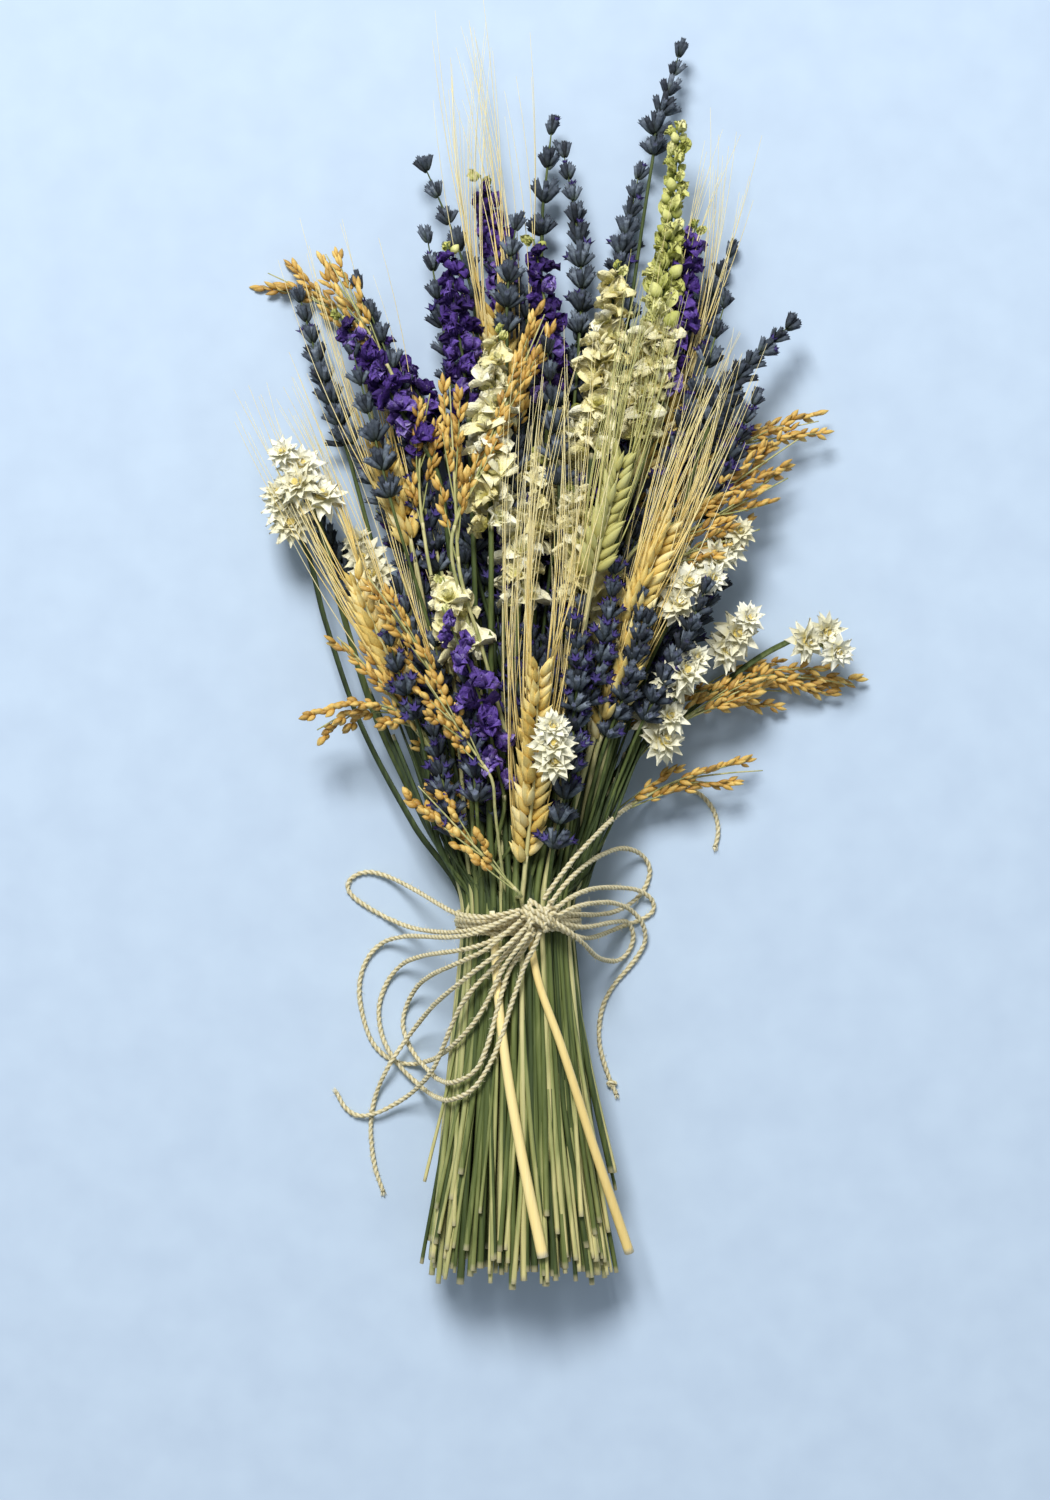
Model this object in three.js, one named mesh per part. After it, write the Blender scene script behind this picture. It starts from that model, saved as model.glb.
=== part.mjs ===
// A hand-tied bunch of dried flowers, lying on a flat surface.
//
// Millimetres. +Z is up, +Y runs from the cut ends to the flowers, and +X is to the right as seen
// from above. Everything is laid out from the middle of the tie, on the surface. At the end the
// whole bunch is moved so that the origin is the middle of the underside of its box.
import * as THREE from 'three';
import { mergeVertices } from 'three/addons/utils/BufferGeometryUtils.js';

// ---- The tied stems ---------------------------------------------------------------------------
const stemDiameter = 2.0;
const stemGap = 0.4; // between neighbouring stems in the tied ring, and to the stems inside it
const tieFlatness = 0.85; // height of the tied ring as a share of its width
const tailLength = 118; // from the tie to the shortest cut ends
const tailRagged = 7; // how much longer the longest cut ends are
const tailFlareWide = 1.6; // width of the ring at the cut ends, in tied widths
const tailFlareHigh = 1.15; // height of the ring at the cut ends, in tied heights

// ---- The spray of heads -----------------------------------------------------------------------
const crownHeight = 66; // the spray's top, over its thickest place
const crownReach = 130; // from the tie to that place
const crownLength = 230; // from there to the farthest heads, as the top falls away again
const crownHalfWidth = 125; // from the middle to the spray's sides
const pinchLength = 70; // over which stems leave the tied ring for their own layer
const crownFall = 0.5; // share of the top that is lost at the far end of that length
const crownSideFall = 0.6; // share of the top that is lost at the spray's sides
const restingGap = 0.3; // the lowest stems and heads are this clear of the surface

// ---- The heads --------------------------------------------------------------------------------
// Each profile is the half thickness at even steps from neck to tip.
const lavenderHalf = 4.6;
const larkspurHalf = 8.5;
const earHalf = 4.8;
const awnBrush = 55; // how far the bound awns reach past an ear of wheat
const awnBrushHalf = 2.2;
const everlastingHalf = 8.5;
const grassHalf = 4.2;

const heads = {
  lavender: { half: lavenderHalf, profile: [0.55, 1, 0.95, 1, 0.8, 0.25], colour: 0x49546a },
  purple_larkspur: { half: larkspurHalf, profile: [0.4, 0.9, 1, 0.95, 0.7, 0.25], colour: 0x3a1f6e },
  cream_larkspur: { half: larkspurHalf, profile: [0.4, 0.85, 1, 0.9, 0.65, 0.2], colour: 0xe8e2b4 },
  wheat: { half: earHalf, profile: [0.5, 1, 1, 0.85, 0.6], colour: 0xd9b368 },
  everlasting: { half: everlastingHalf, profile: [0.3, 0.8, 1, 0.75], colour: 0xf4f0e0 },
  golden_grass: { half: grassHalf, profile: [0.4, 0.9, 1, 0.8, 0.3], colour: 0xc99a55 },
};

// ---- The sprigs -------------------------------------------------------------------------------
// Each row is one flower with its stem, as it was picked:
//   kind; length from the tie to the neck; lean of the neck to the right, in degrees; length of
//   the head; nod of the head to the right of the lean, in degrees; layer, from 0 on the surface
//   to 1 on top of the spray; bow of the stem to the right, where it has one.
const sprigRows = [
  ['lavender', 204, -4, 64, -13, 0.25],
  ['lavender', 178, -7, 63, -2, 0.4],
  ['lavender', 238, 2, 40, 3, 0.15],
  ['lavender', 203, -1, 38, 7, 0.5],
  ['lavender', 205, 6, 66, -11, 0.3],
  ['lavender', 223, 9, 43, 2, 0.1],
  ['lavender', 271, 10, 39, 4, 0.2],
  ['lavender', 182, 21, 48, 17, 0.5],
  ['lavender', 205, 16, 42, 4, 0.1],
  ['lavender', 177, -20, 56, 3, 0.1],
  ['lavender', 165, -12, 64, -7, 0.3],
  ['lavender', 77, -25, 28, 6, 0.8],
  ['lavender', 73, 14, 31, -14, 0.95],
  ['lavender', 78, 17, 47, -7, 0.85],
  ['purple_larkspur', 203, -1, 60, -9, 0.1],
  ['purple_larkspur', 180, 3, 58, -9, 0.5],
  ['purple_larkspur', 171, -6, 64, -1, 0.6],
  ['purple_larkspur', 161, -9, 61, -26, 0.2],
  ['purple_larkspur', 179, 15, 68, -2, 0.2],
  ['purple_larkspur', 42, -4, 70, -13, 0.9],
  ['cream_larkspur', 171, 14, 110, -6, 0.35],
  ['cream_larkspur', 161, 10, 70, -1, 0.6],
  ['cream_larkspur', 132, -3, 71, 6, 0.7],
  ['cream_larkspur', 110, 11, 41, -12, 0.8],
  ['cream_larkspur', 92, -11, 28, -2, 0.75],
  ['wheat', 21, 8, 68, -4, 1],
  ['wheat', 67, 25, 50, -8, 0.8],
  ['wheat', 83, -27, 48, 3, 0.6],
  ['wheat', 166, -1, 47, -4, 0.3],
  ['wheat', 156, 15, 44, -2, 0.3],
  ['wheat', 118, 11, 43, 2, 0.8],
  ['wheat', 133, -16, 37, -1, 0.35],
  ['everlasting', 154, -29, 18, -9, 0.15, -8],
  ['everlasting', 156, -27, 26, 2, 0.3, -6],
  ['everlasting', 47, 13, 20, 2, 0.95],
  ['everlasting', 132, 27, 26, 21, 0.3, -5],
  ['everlasting', 134, 44, 21, 60, 0.2, -22],
  ['everlasting', 94, 32, 18, 4, 0.6],
  ['golden_grass', 152, -2, 55, 16, 0.6],
  ['golden_grass', 208, -16, 43, -32, 0.05],
  ['golden_grass', 157, 22, 57, 36, 0.3],
  ['golden_grass', 75, 33, 84, 43, 0.1],
  ['golden_grass', 50, 34, 66, 29, 0.6],
  ['golden_grass', 73, -26, 40, -62, 0.7],
  ['golden_grass', 22, -20, 36, -26, 0.8],
  ['golden_grass', 70, -18, 60, -12, 0.75],
];

// ---- The twine --------------------------------------------------------------------------------
const twineDiameter = 1.8;
const touchGap = 0.3; // between pieces that meet face to face
const wrapEase = 0.3; // more, between the stems and the flats of the many-sided wraps
const wrapPress = 0.7; // height of the valleys between turns, in twine half thicknesses
const twineColour = 0xbfb389;
const twineRoughness = 0.95;
const wrapTurns = 5;
const wrapLength = wrapTurns * twineDiameter + 1; // along the bunch, as the turns lie side by side

const stemRadius = stemDiameter / 2;
const twineRadius = twineDiameter / 2;

// ---- The tied ring ----------------------------------------------------------------------------
// The stems stand side by side round an ellipse whose outline is just long enough to hold them.

/** Points at even distances round an ellipse of half width 1, from its left end over the top. */
function evenEllipse(flatness, count) {
  const steps = 2000;
  const points = [];
  const lengths = [0];
  for (let i = 0; i <= steps; i++) {
    const angle = Math.PI - (2 * Math.PI * i) / steps;
    points.push(new THREE.Vector2(Math.cos(angle), flatness * Math.sin(angle)));
    if (i > 0) lengths.push(lengths[i - 1] + points[i].distanceTo(points[i - 1]));
  }
  const outline = lengths[steps];
  const slots = [];
  let i = 0;
  for (let slot = 0; slot < count; slot++) {
    while (lengths[i] < (outline * slot) / count) i++;
    slots.push(points[i]);
  }
  return { outline, slots };
}

const ring = evenEllipse(tieFlatness, sprigRows.length);
const ringHalfWidth = (sprigRows.length * (stemDiameter + stemGap)) / ring.outline;
const ringHalfHeight = ringHalfWidth * tieFlatness;
const wrapInset = stemRadius + touchGap + wrapEase; // from the ring's outline to the wraps' inside
const wrapOutset = wrapInset + twineRadius * (wrapPress + 1); // and to the top of a turn
const tieHeight = ringHalfHeight + wrapOutset; // of the tie's middle: the wraps stand on the surface
const cutHeight = ringHalfHeight * tailFlareHigh + stemRadius + restingGap; // of the cut ends' middle

/** Where a stem in a ring slot lies, at a distance along the bunch that is not past the tie. */
function slotPoint(slot, along) {
  const down = Math.max(0, (-along - wrapLength / 2) / tailLength);
  const x = slot.x * ringHalfWidth * (1 + (tailFlareWide - 1) * down);
  const z = slot.y * ringHalfWidth * (1 + (tailFlareHigh - 1) * down);
  return new THREE.Vector3(x, along, z + tieHeight + (cutHeight - tieHeight) * down);
}

// ---- Laying out a sprig -----------------------------------------------------------------------

const smooth = (value) => THREE.MathUtils.smoothstep(value, 0, 1);

/** Height of a layer of the spray, from the surface at layer 0 to the dome of the spray at 1. */
function layerHeight(layer, x, y, half) {
  const rise = smooth(y / crownReach);
  const fall = Math.max(0, (y - crownReach) / crownLength);
  const side = Math.min(1, Math.abs(x) / crownHalfWidth);
  const tieTop = tieHeight + ringHalfHeight;
  const rising = THREE.MathUtils.lerp(tieTop, crownHeight, rise);
  const dome = rising * (1 - crownFall * fall) * (1 - crownSideFall * side * side);
  const lowest = half + restingGap;
  return THREE.MathUtils.lerp(lowest, Math.max(lowest, dome - half), layer);
}

/** A point at a distance from another, in a direction given in degrees to the right of +Y. */
function step(from, distance, degrees) {
  const angle = THREE.MathUtils.degToRad(degrees);
  return new THREE.Vector2(from.x + distance * Math.sin(angle), from.y + distance * Math.cos(angle));
}

// A head takes up its nod evenly: its first half turns by less than the nod and its tip by more.
const nodOfFirstHalf = 0.6;
const nodOfSecondHalf = 1.4;
// Stations of the tied part of a stem, from its cut end: shares of the length below the tie, then
// just before the wraps and at their two edges, between which all stems run straight.
const tailShares = [1, 0.6];
const straightening = 8;
const tiedStations = 5;
const longStem = 100; // a stem longer than this from the tie has one more station

/** The stations of one sprig, from its cut end to its tip: points with a half thickness each. */
function layOut(row, slot, cutLength) {
  const [kind, reach, lean, headLength, nod, layer, bow = 0] = row;
  const { half, profile } = heads[kind];
  const band = wrapLength / 2;
  const exit = slotPoint(slot, band);
  const neck = step({ x: 0, y: 0 }, reach, lean);
  const middle = new THREE.Vector2((exit.x + neck.x) / 2 + bow, (exit.y + neck.y) / 2);
  const headMiddle = step(neck, headLength / 2, lean + nod * nodOfFirstHalf);
  const tip = step(headMiddle, headLength / 2, lean + nod * nodOfSecondHalf);
  const plan = new THREE.SplineCurve([new THREE.Vector2(exit.x, exit.y), middle, neck, headMiddle, tip]);

  const tied = [...tailShares.map((share) => -share * cutLength), -band - straightening, -band, band];
  const stations = tied.map((along) => ({ at: slotPoint(slot, along), half: stemRadius }));
  const add = (flat, thickness) => {
    const free = smooth((flat.y - band) / pinchLength);
    const height = layerHeight(layer, flat.x, flat.y, half);
    const z = THREE.MathUtils.lerp(exit.z, height, free);
    stations.push({ at: new THREE.Vector3(flat.x, flat.y, z), half: thickness });
  };
  // The plan curve spends half its run on the stem and half on the head.
  const stemSteps = reach > longStem ? 4 : 3;
  for (let i = 1; i < stemSteps; i++) add(plan.getPoint((0.5 * i) / stemSteps), stemRadius);
  const last = profile.length - 1;
  profile.forEach((share, i) => add(plan.getPoint(0.5 + (0.5 * i) / last), half * share));
  if (kind === 'wheat') {
    add(step(tip, awnBrush / 3, lean + nod), awnBrushHalf);
    add(step(tip, awnBrush, lean + nod), awnBrushHalf / 2);
  }
  return stations;
}

// ---- Settling the sprigs against each other ---------------------------------------------------
// Laid out alone, the heads would run through each other. They are pushed apart the way heads in a
// real bunch make room, mostly up and down, while the tied stems stay where the tie holds them.
const settleRounds = 260;
const settleGap = 0.6;
const sideShare = 0.45; // how freely sprigs move sideways, compared with up and down
const stiffness = 0.3; // how evenly a push spreads along a sprig
const looseRounds = 0.2; // the last share of the rounds, in which pushes no longer spread
const mostPerRound = 2; // the farthest that a station moves in one round
const leastLift = 0.05; // two stretches at the same height part upwards by at least this share
const parallel = 1e-9;

/** Where two straight stretches come nearest: the share along each. */
function nearest(p0, p1, q0, q1) {
  const u = p1.clone().sub(p0);
  const v = q1.clone().sub(q0);
  const w = p0.clone().sub(q0);
  const [a, b, c, d, e] = [u.dot(u), u.dot(v), v.dot(v), u.dot(w), v.dot(w)];
  const spread = a * c - b * b;
  const first = spread > parallel ? THREE.MathUtils.clamp((b * e - c * d) / spread, 0, 1) : 0;
  const t = THREE.MathUtils.clamp((b * first + e) / c, 0, 1);
  const s = THREE.MathUtils.clamp((b * t - d) / a, 0, 1);
  return [s, t];
}

/** Pushes two stretches apart where their thicknesses come closer than the settling gap. */
function part(a0, a1, b0, b1) {
  const reach = Math.max(a0.half, a1.half) + Math.max(b0.half, b1.half) + settleGap;
  for (const axis of ['x', 'y', 'z']) {
    if (Math.min(a0.at[axis], a1.at[axis]) - Math.max(b0.at[axis], b1.at[axis]) > reach) return;
    if (Math.min(b0.at[axis], b1.at[axis]) - Math.max(a0.at[axis], a1.at[axis]) > reach) return;
  }
  const [s0, t0] = nearest(a0.at, a1.at, b0.at, b1.at);
  for (const [s, t] of [[s0, t0], [0, t0], [1, t0], [s0, 0], [s0, 1]]) {
    const line = a0.at.clone().lerp(a1.at, s).sub(b0.at.clone().lerp(b1.at, t));
    const apart = line.length();
    const halves = THREE.MathUtils.lerp(a0.half, a1.half, s) + THREE.MathUtils.lerp(b0.half, b1.half, t);
    const short = halves + settleGap - apart;
    if (short <= 0) continue;
    const push = new THREE.Vector3(line.x * sideShare, line.y * sideShare, line.z);
    if (Math.abs(line.z) < leastLift * apart) push.z = leastLift * apart;
    push.setLength(short / 2);
    a0.shift.addScaledVector(push, 1 - s);
    a1.shift.addScaledVector(push, s);
    b0.shift.addScaledVector(push, t - 1);
    b1.shift.addScaledVector(push, -t);
  }
}

/** Pushes two sprigs apart along their whole loose lengths. */
function partSprigs(one, other) {
  for (let m = tiedStations - 1; m < one.length - 1; m++) {
    for (let n = tiedStations - 1; n < other.length - 1; n++) {
      part(one[m], one[m + 1], other[n], other[n + 1]);
    }
  }
}

/** Moves the loose stations of all sprigs until they clear each other. */
function settle(sprigs) {
  for (const station of sprigs.flat()) {
    station.planned = station.at.clone();
    station.shift = new THREE.Vector3();
    station.moved = new THREE.Vector3();
  }
  for (let round = 0; round < settleRounds; round++) {
    for (const station of sprigs.flat()) station.shift.set(0, 0, 0);
    for (let i = 0; i < sprigs.length; i++) {
      for (let j = i + 1; j < sprigs.length; j++) partSprigs(sprigs[i], sprigs[j]);
    }
    const spread = round < settleRounds * (1 - looseRounds) ? stiffness : 0;
    for (const sprig of sprigs) {
      const loose = sprig.slice(tiedStations);
      for (const station of loose) station.moved.add(station.shift.clampLength(0, mostPerRound));
      loose.forEach((station, i) => {
        const before = sprig[tiedStations + i - 1].moved;
        const after = (loose[i + 1] ?? station).moved;
        const even = station.moved.clone().lerp(before.clone().add(after).multiplyScalar(0.5), spread);
        station.at.copy(station.planned).add(even);
        station.at.z = Math.max(station.at.z, station.half + restingGap);
      });
      for (const station of loose) station.moved.copy(station.at).sub(station.planned);
    }
  }
}

// ---- Solids -----------------------------------------------------------------------------------

/** A closed solid from rings of points, each ring the same way round, with flat ends. */
function loft(rings) {
  const sides = rings[0].length;
  const points = rings.flat();
  const middle = (ring) => ring.reduce((sum, p) => sum.add(p), new THREE.Vector3()).divideScalar(sides);
  const start = points.push(middle(rings[0])) - 1;
  const end = points.push(middle(rings[rings.length - 1])) - 1;
  const index = [];
  const lastRing = (rings.length - 1) * sides;
  for (let side = 0; side < sides; side++) {
    const next = (side + 1) % sides;
    index.push(start, side, next, end, lastRing + next, lastRing + side);
    for (let ring = 0; ring < lastRing; ring += sides) {
      index.push(ring + side, ring + sides + next, ring + next);
      index.push(ring + side, ring + sides + side, ring + sides + next);
    }
  }
  const geometry = new THREE.BufferGeometry().setFromPoints(points);
  geometry.setIndex(index);
  return geometry;
}

const upwards = new THREE.Vector3(0, 0, 1);

/** A closed tube about a line of points, with a half thickness at each of them. */
function tube(points, halves, sides) {
  const rings = points.map((point, i) => {
    const before = points[Math.max(i - 1, 0)];
    const after = points[Math.min(i + 1, points.length - 1)];
    const along = after.clone().sub(before).normalize();
    const across = new THREE.Vector3().crossVectors(along, upwards).setLength(halves[i]);
    const up = new THREE.Vector3().crossVectors(across, along);
    return Array.from({ length: sides }, (_, side) => {
      const angle = (2 * Math.PI * side) / sides;
      return point.clone().addScaledVector(across, Math.cos(angle)).addScaledVector(up, Math.sin(angle));
    });
  });
  return loft(rings);
}

/** An upright ellipse of points across the bunch. */
function ellipse(halfWidth, halfHeight, along, height, sides) {
  return Array.from({ length: sides }, (_, side) => {
    const angle = (2 * Math.PI * side) / sides;
    return new THREE.Vector3(halfWidth * Math.cos(angle), along, height + halfHeight * Math.sin(angle));
  });
}

// ---- The sprigs' places in the ring -----------------------------------------------------------
// The stems of the upper layers stand over the top of the ring from left to right, and those of
// the lower layers under it from right to left, each in the order in which the sprigs fan out.
const upperLayer = 0.45;
const leanOf = (row) => row[2];
const layerOf = (row) => row[5];
const over = sprigRows.filter((row) => layerOf(row) >= upperLayer).sort((a, b) => leanOf(a) - leanOf(b));
const under = sprigRows.filter((row) => layerOf(row) < upperLayer).sort((a, b) => leanOf(b) - leanOf(a));
const ringOrder = [...over, ...under];

// The cut ends are uneven: going round the ring, the lengths step through a fixed run of shares.
const raggedSteps = 8;
const raggedStride = 5;
const sprigs = ringOrder.map((row, place) => {
  const share = ((place * raggedStride) % raggedSteps) / (raggedSteps - 1);
  return layOut(row, ring.slots[place], tailLength + tailRagged * share);
});
settle(sprigs);

// ---- Assembly ---------------------------------------------------------------------------------
const bunch = new THREE.Group();
bunch.name = 'dried_flower_bunch';

function addPiece(name, geometry, colour, roughness) {
  const material = new THREE.MeshStandardMaterial({ color: colour, roughness, metalness: 0 });
  const piece = new THREE.Mesh(geometry, material);
  piece.name = name;
  bunch.add(piece);
}

const driedRoughness = 0.85;
const sprigSides = 6;

function sprigSolid(stations) {
  return tube(stations.map((station) => station.at), stations.map((station) => station.half), sprigSides);
}

const counts = {};
sprigRows.forEach((row) => {
  const kind = row[0];
  counts[kind] = (counts[kind] ?? 0) + 1;
  const name = `${kind}_${String(counts[kind]).padStart(2, '0')}`;
  addPiece(name, sprigSolid(sprigs[ringOrder.indexOf(row)]), heads[kind].colour, driedRoughness);
});

// ---- The stems inside the ring ----------------------------------------------------------------
// Short filler stems fill the ring from the cut ends to just past the tie, pressed into one mass.
const coreShort = 5; // how far the filler stems stop short of the shortest cut ends
const corePast = 3; // how far they run past the wraps, drawing together
const coreTaper = 4;
const coreMiddle = 0.5; // share of the length below the tie at which the mass has its middle section
const coreSides = 20;
const stemColour = 0x8b8b5a;

function stemCore() {
  const inset = stemRadius + stemGap;
  const across = (along, taper) => {
    const edge = slotPoint({ x: 1, y: 0 }, along);
    const top = slotPoint({ x: 0, y: tieFlatness }, along);
    return ellipse(edge.x - inset - taper, top.z - edge.z - inset - taper, along, edge.z, coreSides);
  };
  const band = wrapLength / 2;
  return loft([
    across(-tailLength + coreShort, 0),
    across(-coreMiddle * tailLength, 0),
    across(-band, 0),
    across(band, 0),
    across(band + corePast, coreTaper),
  ]);
}
addPiece('stem_core', stemCore(), stemColour, driedRoughness);

// ---- The wraps and the knot -------------------------------------------------------------------
const wrapSides = 24;
const turnShares = [0, 0.25, 0.5, 0.75]; // across one turn, where its outer edge is drawn

/** The turns of twine round the tie, side by side and pressed into one band. */
function twineWraps() {
  const start = -(wrapTurns * twineDiameter) / 2;
  const outline = [];
  for (let turn = 0; turn < wrapTurns; turn++) {
    for (const share of turnShares) {
      const out = wrapInset + twineRadius * (wrapPress + Math.sin(Math.PI * share));
      outline.push([start + (turn + share) * twineDiameter, out]);
    }
  }
  outline.push([-start, wrapInset + twineRadius * wrapPress], [-start, wrapInset], [start, wrapInset]);
  // Each corner of the outline is carried round the tie as one ring of points.
  const rings = outline.map(([along, out]) => {
    return ellipse(ringHalfWidth + out, ringHalfHeight + out, along, tieHeight, wrapSides);
  });
  const index = [];
  for (let corner = 0; corner < rings.length; corner++) {
    const here = corner * wrapSides;
    const there = ((corner + 1) % rings.length) * wrapSides;
    for (let side = 0; side < wrapSides; side++) {
      const next = (side + 1) % wrapSides;
      index.push(here + side, there + next, here + next, here + side, there + side, there + next);
    }
  }
  const geometry = new THREE.BufferGeometry().setFromPoints(rings.flat());
  geometry.setIndex(index);
  return geometry;
}
addPiece('twine_wraps', twineWraps(), twineColour, twineRoughness);

const knotHalf = new THREE.Vector3(5.6, 4.8, 3.2);
const knotSink = 0.7; // the knot sits in the dip beside the highest turn by this much
const wrapTop = tieHeight + ringHalfHeight + wrapOutset;
const knotAt = new THREE.Vector3(7, 3, wrapTop + knotHalf.z - knotSink);
const knotSides = 14;
const knotRows = 9;

function twineKnot() {
  const ball = new THREE.SphereGeometry(1, knotSides, knotRows).scale(knotHalf.x, knotHalf.y, knotHalf.z);
  ball.deleteAttribute('normal');
  ball.deleteAttribute('uv');
  return mergeVertices(ball.translate(knotAt.x, knotAt.y, knotAt.z));
}
addPiece('twine_knot', twineKnot(), twineColour, twineRoughness);

// ---- The bow ----------------------------------------------------------------------------------
// Loops and tails of the same twine run out from under the knot, over the tied stems and down to
// the surface, where they lie. Each route is the middle of the twine, from the middle of the tie.
const bow = {
  loop_left_1: [
    [0.9, 4.9, 40.8], [-6, 3.2, 40.6], [-14, 2, 38], [-21, 3, 32], [-28, 6, 22.5], [-36, 10, 11.5],
    [-45, 14, 3.4], [-53, 16, 1.2], [-59, 14, 1], [-60.5, 10, 1], [-56.5, 5.5, 1.1], [-47, 0, 1.8],
    [-38, -3.2, 8], [-29, -4, 19], [-22, -3.5, 29.5], [-14.5, -2, 36.8], [-6, 0.6, 40.4], [0.5, 2.5, 40.6],
  ],
  loop_left_2: [
    [0.7, 3.8, 43.2], [-5, 1.4, 43], [-12, -2.2, 40.6], [-19, -4.4, 36], [-26, -5.4, 27.5],
    [-33, -5.8, 17.5], [-40, -6.4, 8.5], [-48, -9, 2.4], [-54, -15.5, 1.1], [-56.5, -25, 1], [-55, -36, 1],
    [-51.5, -45, 1], [-45.5, -50.5, 1], [-38.5, -52.2, 1.4], [-32, -50.6, 6], [-27.6, -47.6, 16],
    [-22, -42, 30], [-15, -34, 36], [-10, -25.5, 38.2], [-5, -15, 41], [0.4, -7.4, 43.6], [4.3, -2.5, 43.4],
  ],
  loop_left_3: [
    [1.4, 0.3, 40.8], [-5, -3.6, 40.6], [-12, -7, 38.8], [-20, -9.4, 34], [-27, -11, 25], [-34, -13, 14],
    [-41, -16.5, 4.6], [-46.5, -23, 1.2], [-49.5, -32, 1.1], [-48.6, -41, 1.8], [-45.4, -48, 3.6],
    [-41, -54, 2.8], [-35.5, -59, 3.6], [-31.6, -61.2, 10], [-28, -61.8, 20], [-23.4, -61, 32.4],
    [-16, -57, 38], [-10.5, -49.5, 39], [-6.2, -40, 39.2], [-2.4, -28, 39.6], [2, -15, 40.8],
    [6, -6.6, 43], [7.4, -2.6, 43.4],
  ],
  loop_left_4: [
    [1.1, 1.5, 43.1], [-5, -3.6, 43.1], [-11, -8.6, 41.2], [-18, -12.4, 37], [-24, -15.5, 30.5],
    [-30, -19, 19.5], [-35.5, -24, 8], [-39.5, -31, 2.2], [-41, -38, 1.4], [-39, -44.6, 3],
    [-35.6, -49.6, 6.2], [-31.4, -53.4, 11.5], [-27.6, -55.4, 20.5], [-22.4, -55, 32.4], [-14.8, -50.4, 38],
    [-10.6, -42, 38.8], [-7, -29, 38.6], [-3, -16, 38.8], [2.4, -8, 39.8], [5.6, -2.6, 40.7],
  ],
  tail_left_1: [
    [2.6, -1, 43.3], [-3, -6.6, 43.8], [-9, -11.4, 43.2], [-16, -17, 40.4], [-23, -23, 34],
    [-29, -29, 23], [-34.5, -36, 11.5], [-40, -43.6, 6.2], [-45, -51, 6], [-48.8, -58.5, 3.4],
    [-51.4, -66, 1.2], [-52.4, -74, 1], [-52, -82, 1], [-50.6, -90, 1], [-48, -97.5, 1],
  ],
  tail_left_2: [
    [3.4, -1.7, 40.7], [-2, -8, 40.6], [-8, -14.5, 39.4], [-14, -20.8, 37.6], [-19, -27.4, 35],
    [-22.8, -35.4, 30.8], [-26, -43.5, 26.4], [-29.8, -52, 20.6], [-36, -60, 10.4], [-43, -65.6, 4.6],
    [-50.5, -69.4, 3.6], [-57, -70.4, 1.6], [-61.5, -67.6, 1.1], [-64.5, -62.4, 1],
  ],
  loop_right_1: [
    [11, 7.2, 43.2], [16, 13.5, 41.6], [22, 19, 36], [29, 23, 26], [36.5, 24.8, 13], [43, 22.6, 4.2],
    [46.6, 17.6, 1.3], [45.3, 11, 1.2], [41, 5.8, 3.2], [34.5, 2.6, 10], [28, 2, 20.4], [22.4, 2.6, 30.5],
    [17.4, 3.4, 37], [13.3, 4.1, 40.7],
  ],
  loop_right_2: [
    [12.7, 5.4, 43.2], [18, 9, 40], [25.5, 11.4, 30], [34, 11.2, 16.4], [42, 9.8, 6.6], [47.2, 6.4, 2.4],
    [47.8, 2.2, 1.2], [43.5, -1, 1.1], [37.5, -3, 2.6], [31.4, -4.8, 11.5], [26, -5.8, 22.5],
    [21.6, -5.2, 31.4], [16.4, -3, 37.8], [11.8, -0.6, 40.7],
  ],
  loop_right_3: [
    [12.7, 0.7, 43.3], [17.5, -2.6, 41.8], [22.6, -7.2, 35.8], [26.8, -12, 25], [31, -14.6, 12],
    [35.4, -15.2, 4], [39, -12.4, 1.6], [40.8, -6.8, 2.6], [38.6, -1.6, 6.4], [33.5, -1, 14.4],
    [28, -1.4, 24], [22.8, -1.6, 32.2], [17.4, -0.4, 37.8], [13.2, 1.7, 40.7],
  ],
  tail_right_1: [
    [8.6, 8.4, 43.2], [14, 16, 42.6], [20, 23.4, 41], [26.5, 30, 36.6], [33.5, 36, 26.4], [43, 42, 9],
    [54, 46, 1.8], [63, 44.5, 1], [69, 38.5, 1], [71, 31, 1], [70, 25, 1],
  ],
  tail_right_2: [
    [13.3, 3, 43.5], [19, 5.6, 41.2], [26, 6.6, 31.8], [33, 6, 20], [39.5, 3, 10.4], [44, -2.4, 5.2],
    [44.8, -9, 2.2], [40.4, -16.6, 1.1], [34.5, -23.5, 1], [30.5, -30.5, 1], [28.8, -38, 1], [29, -46, 1],
    [31.5, -55, 1], [34.8, -63, 1],
  ],
};

const bowSides = 8;
const stepsPerPoint = 1.5; // tube steps for each point of a route

function twineTube(route) {
  const corners = route.map((point) => new THREE.Vector3(...point));
  const curve = new THREE.CatmullRomCurve3(corners, false, 'catmullrom');
  const points = curve.getSpacedPoints(Math.round(route.length * stepsPerPoint));
  return tube(points, points.map(() => twineRadius), bowSides);
}

for (const [name, route] of Object.entries(bow)) {
  addPiece(`bow_${name}`, twineTube(route), twineColour, twineRoughness);
}

// ---- Placing ----------------------------------------------------------------------------------
// The origin goes to the middle of the underside of the flowers, stems and tie, without the bow.
const box = new THREE.Box3();
for (const piece of bunch.children) {
  if (!piece.name.startsWith('bow_')) box.expandByObject(piece);
}
const middle = box.getCenter(new THREE.Vector3());
bunch.position.set(-middle.x, -middle.y, -box.min.z);

export default bunch;
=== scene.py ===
"""The looks of the bunch of dried flowers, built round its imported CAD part.

Metres, in the part's own frame: +Y runs from the cut ends to the flowers, +Z is up, and the bunch
lies on the surface at Z 0. Each sprig takes its line from its CAD node and grows its flowers on it.
"""

import math
from collections import namedtuple

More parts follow.
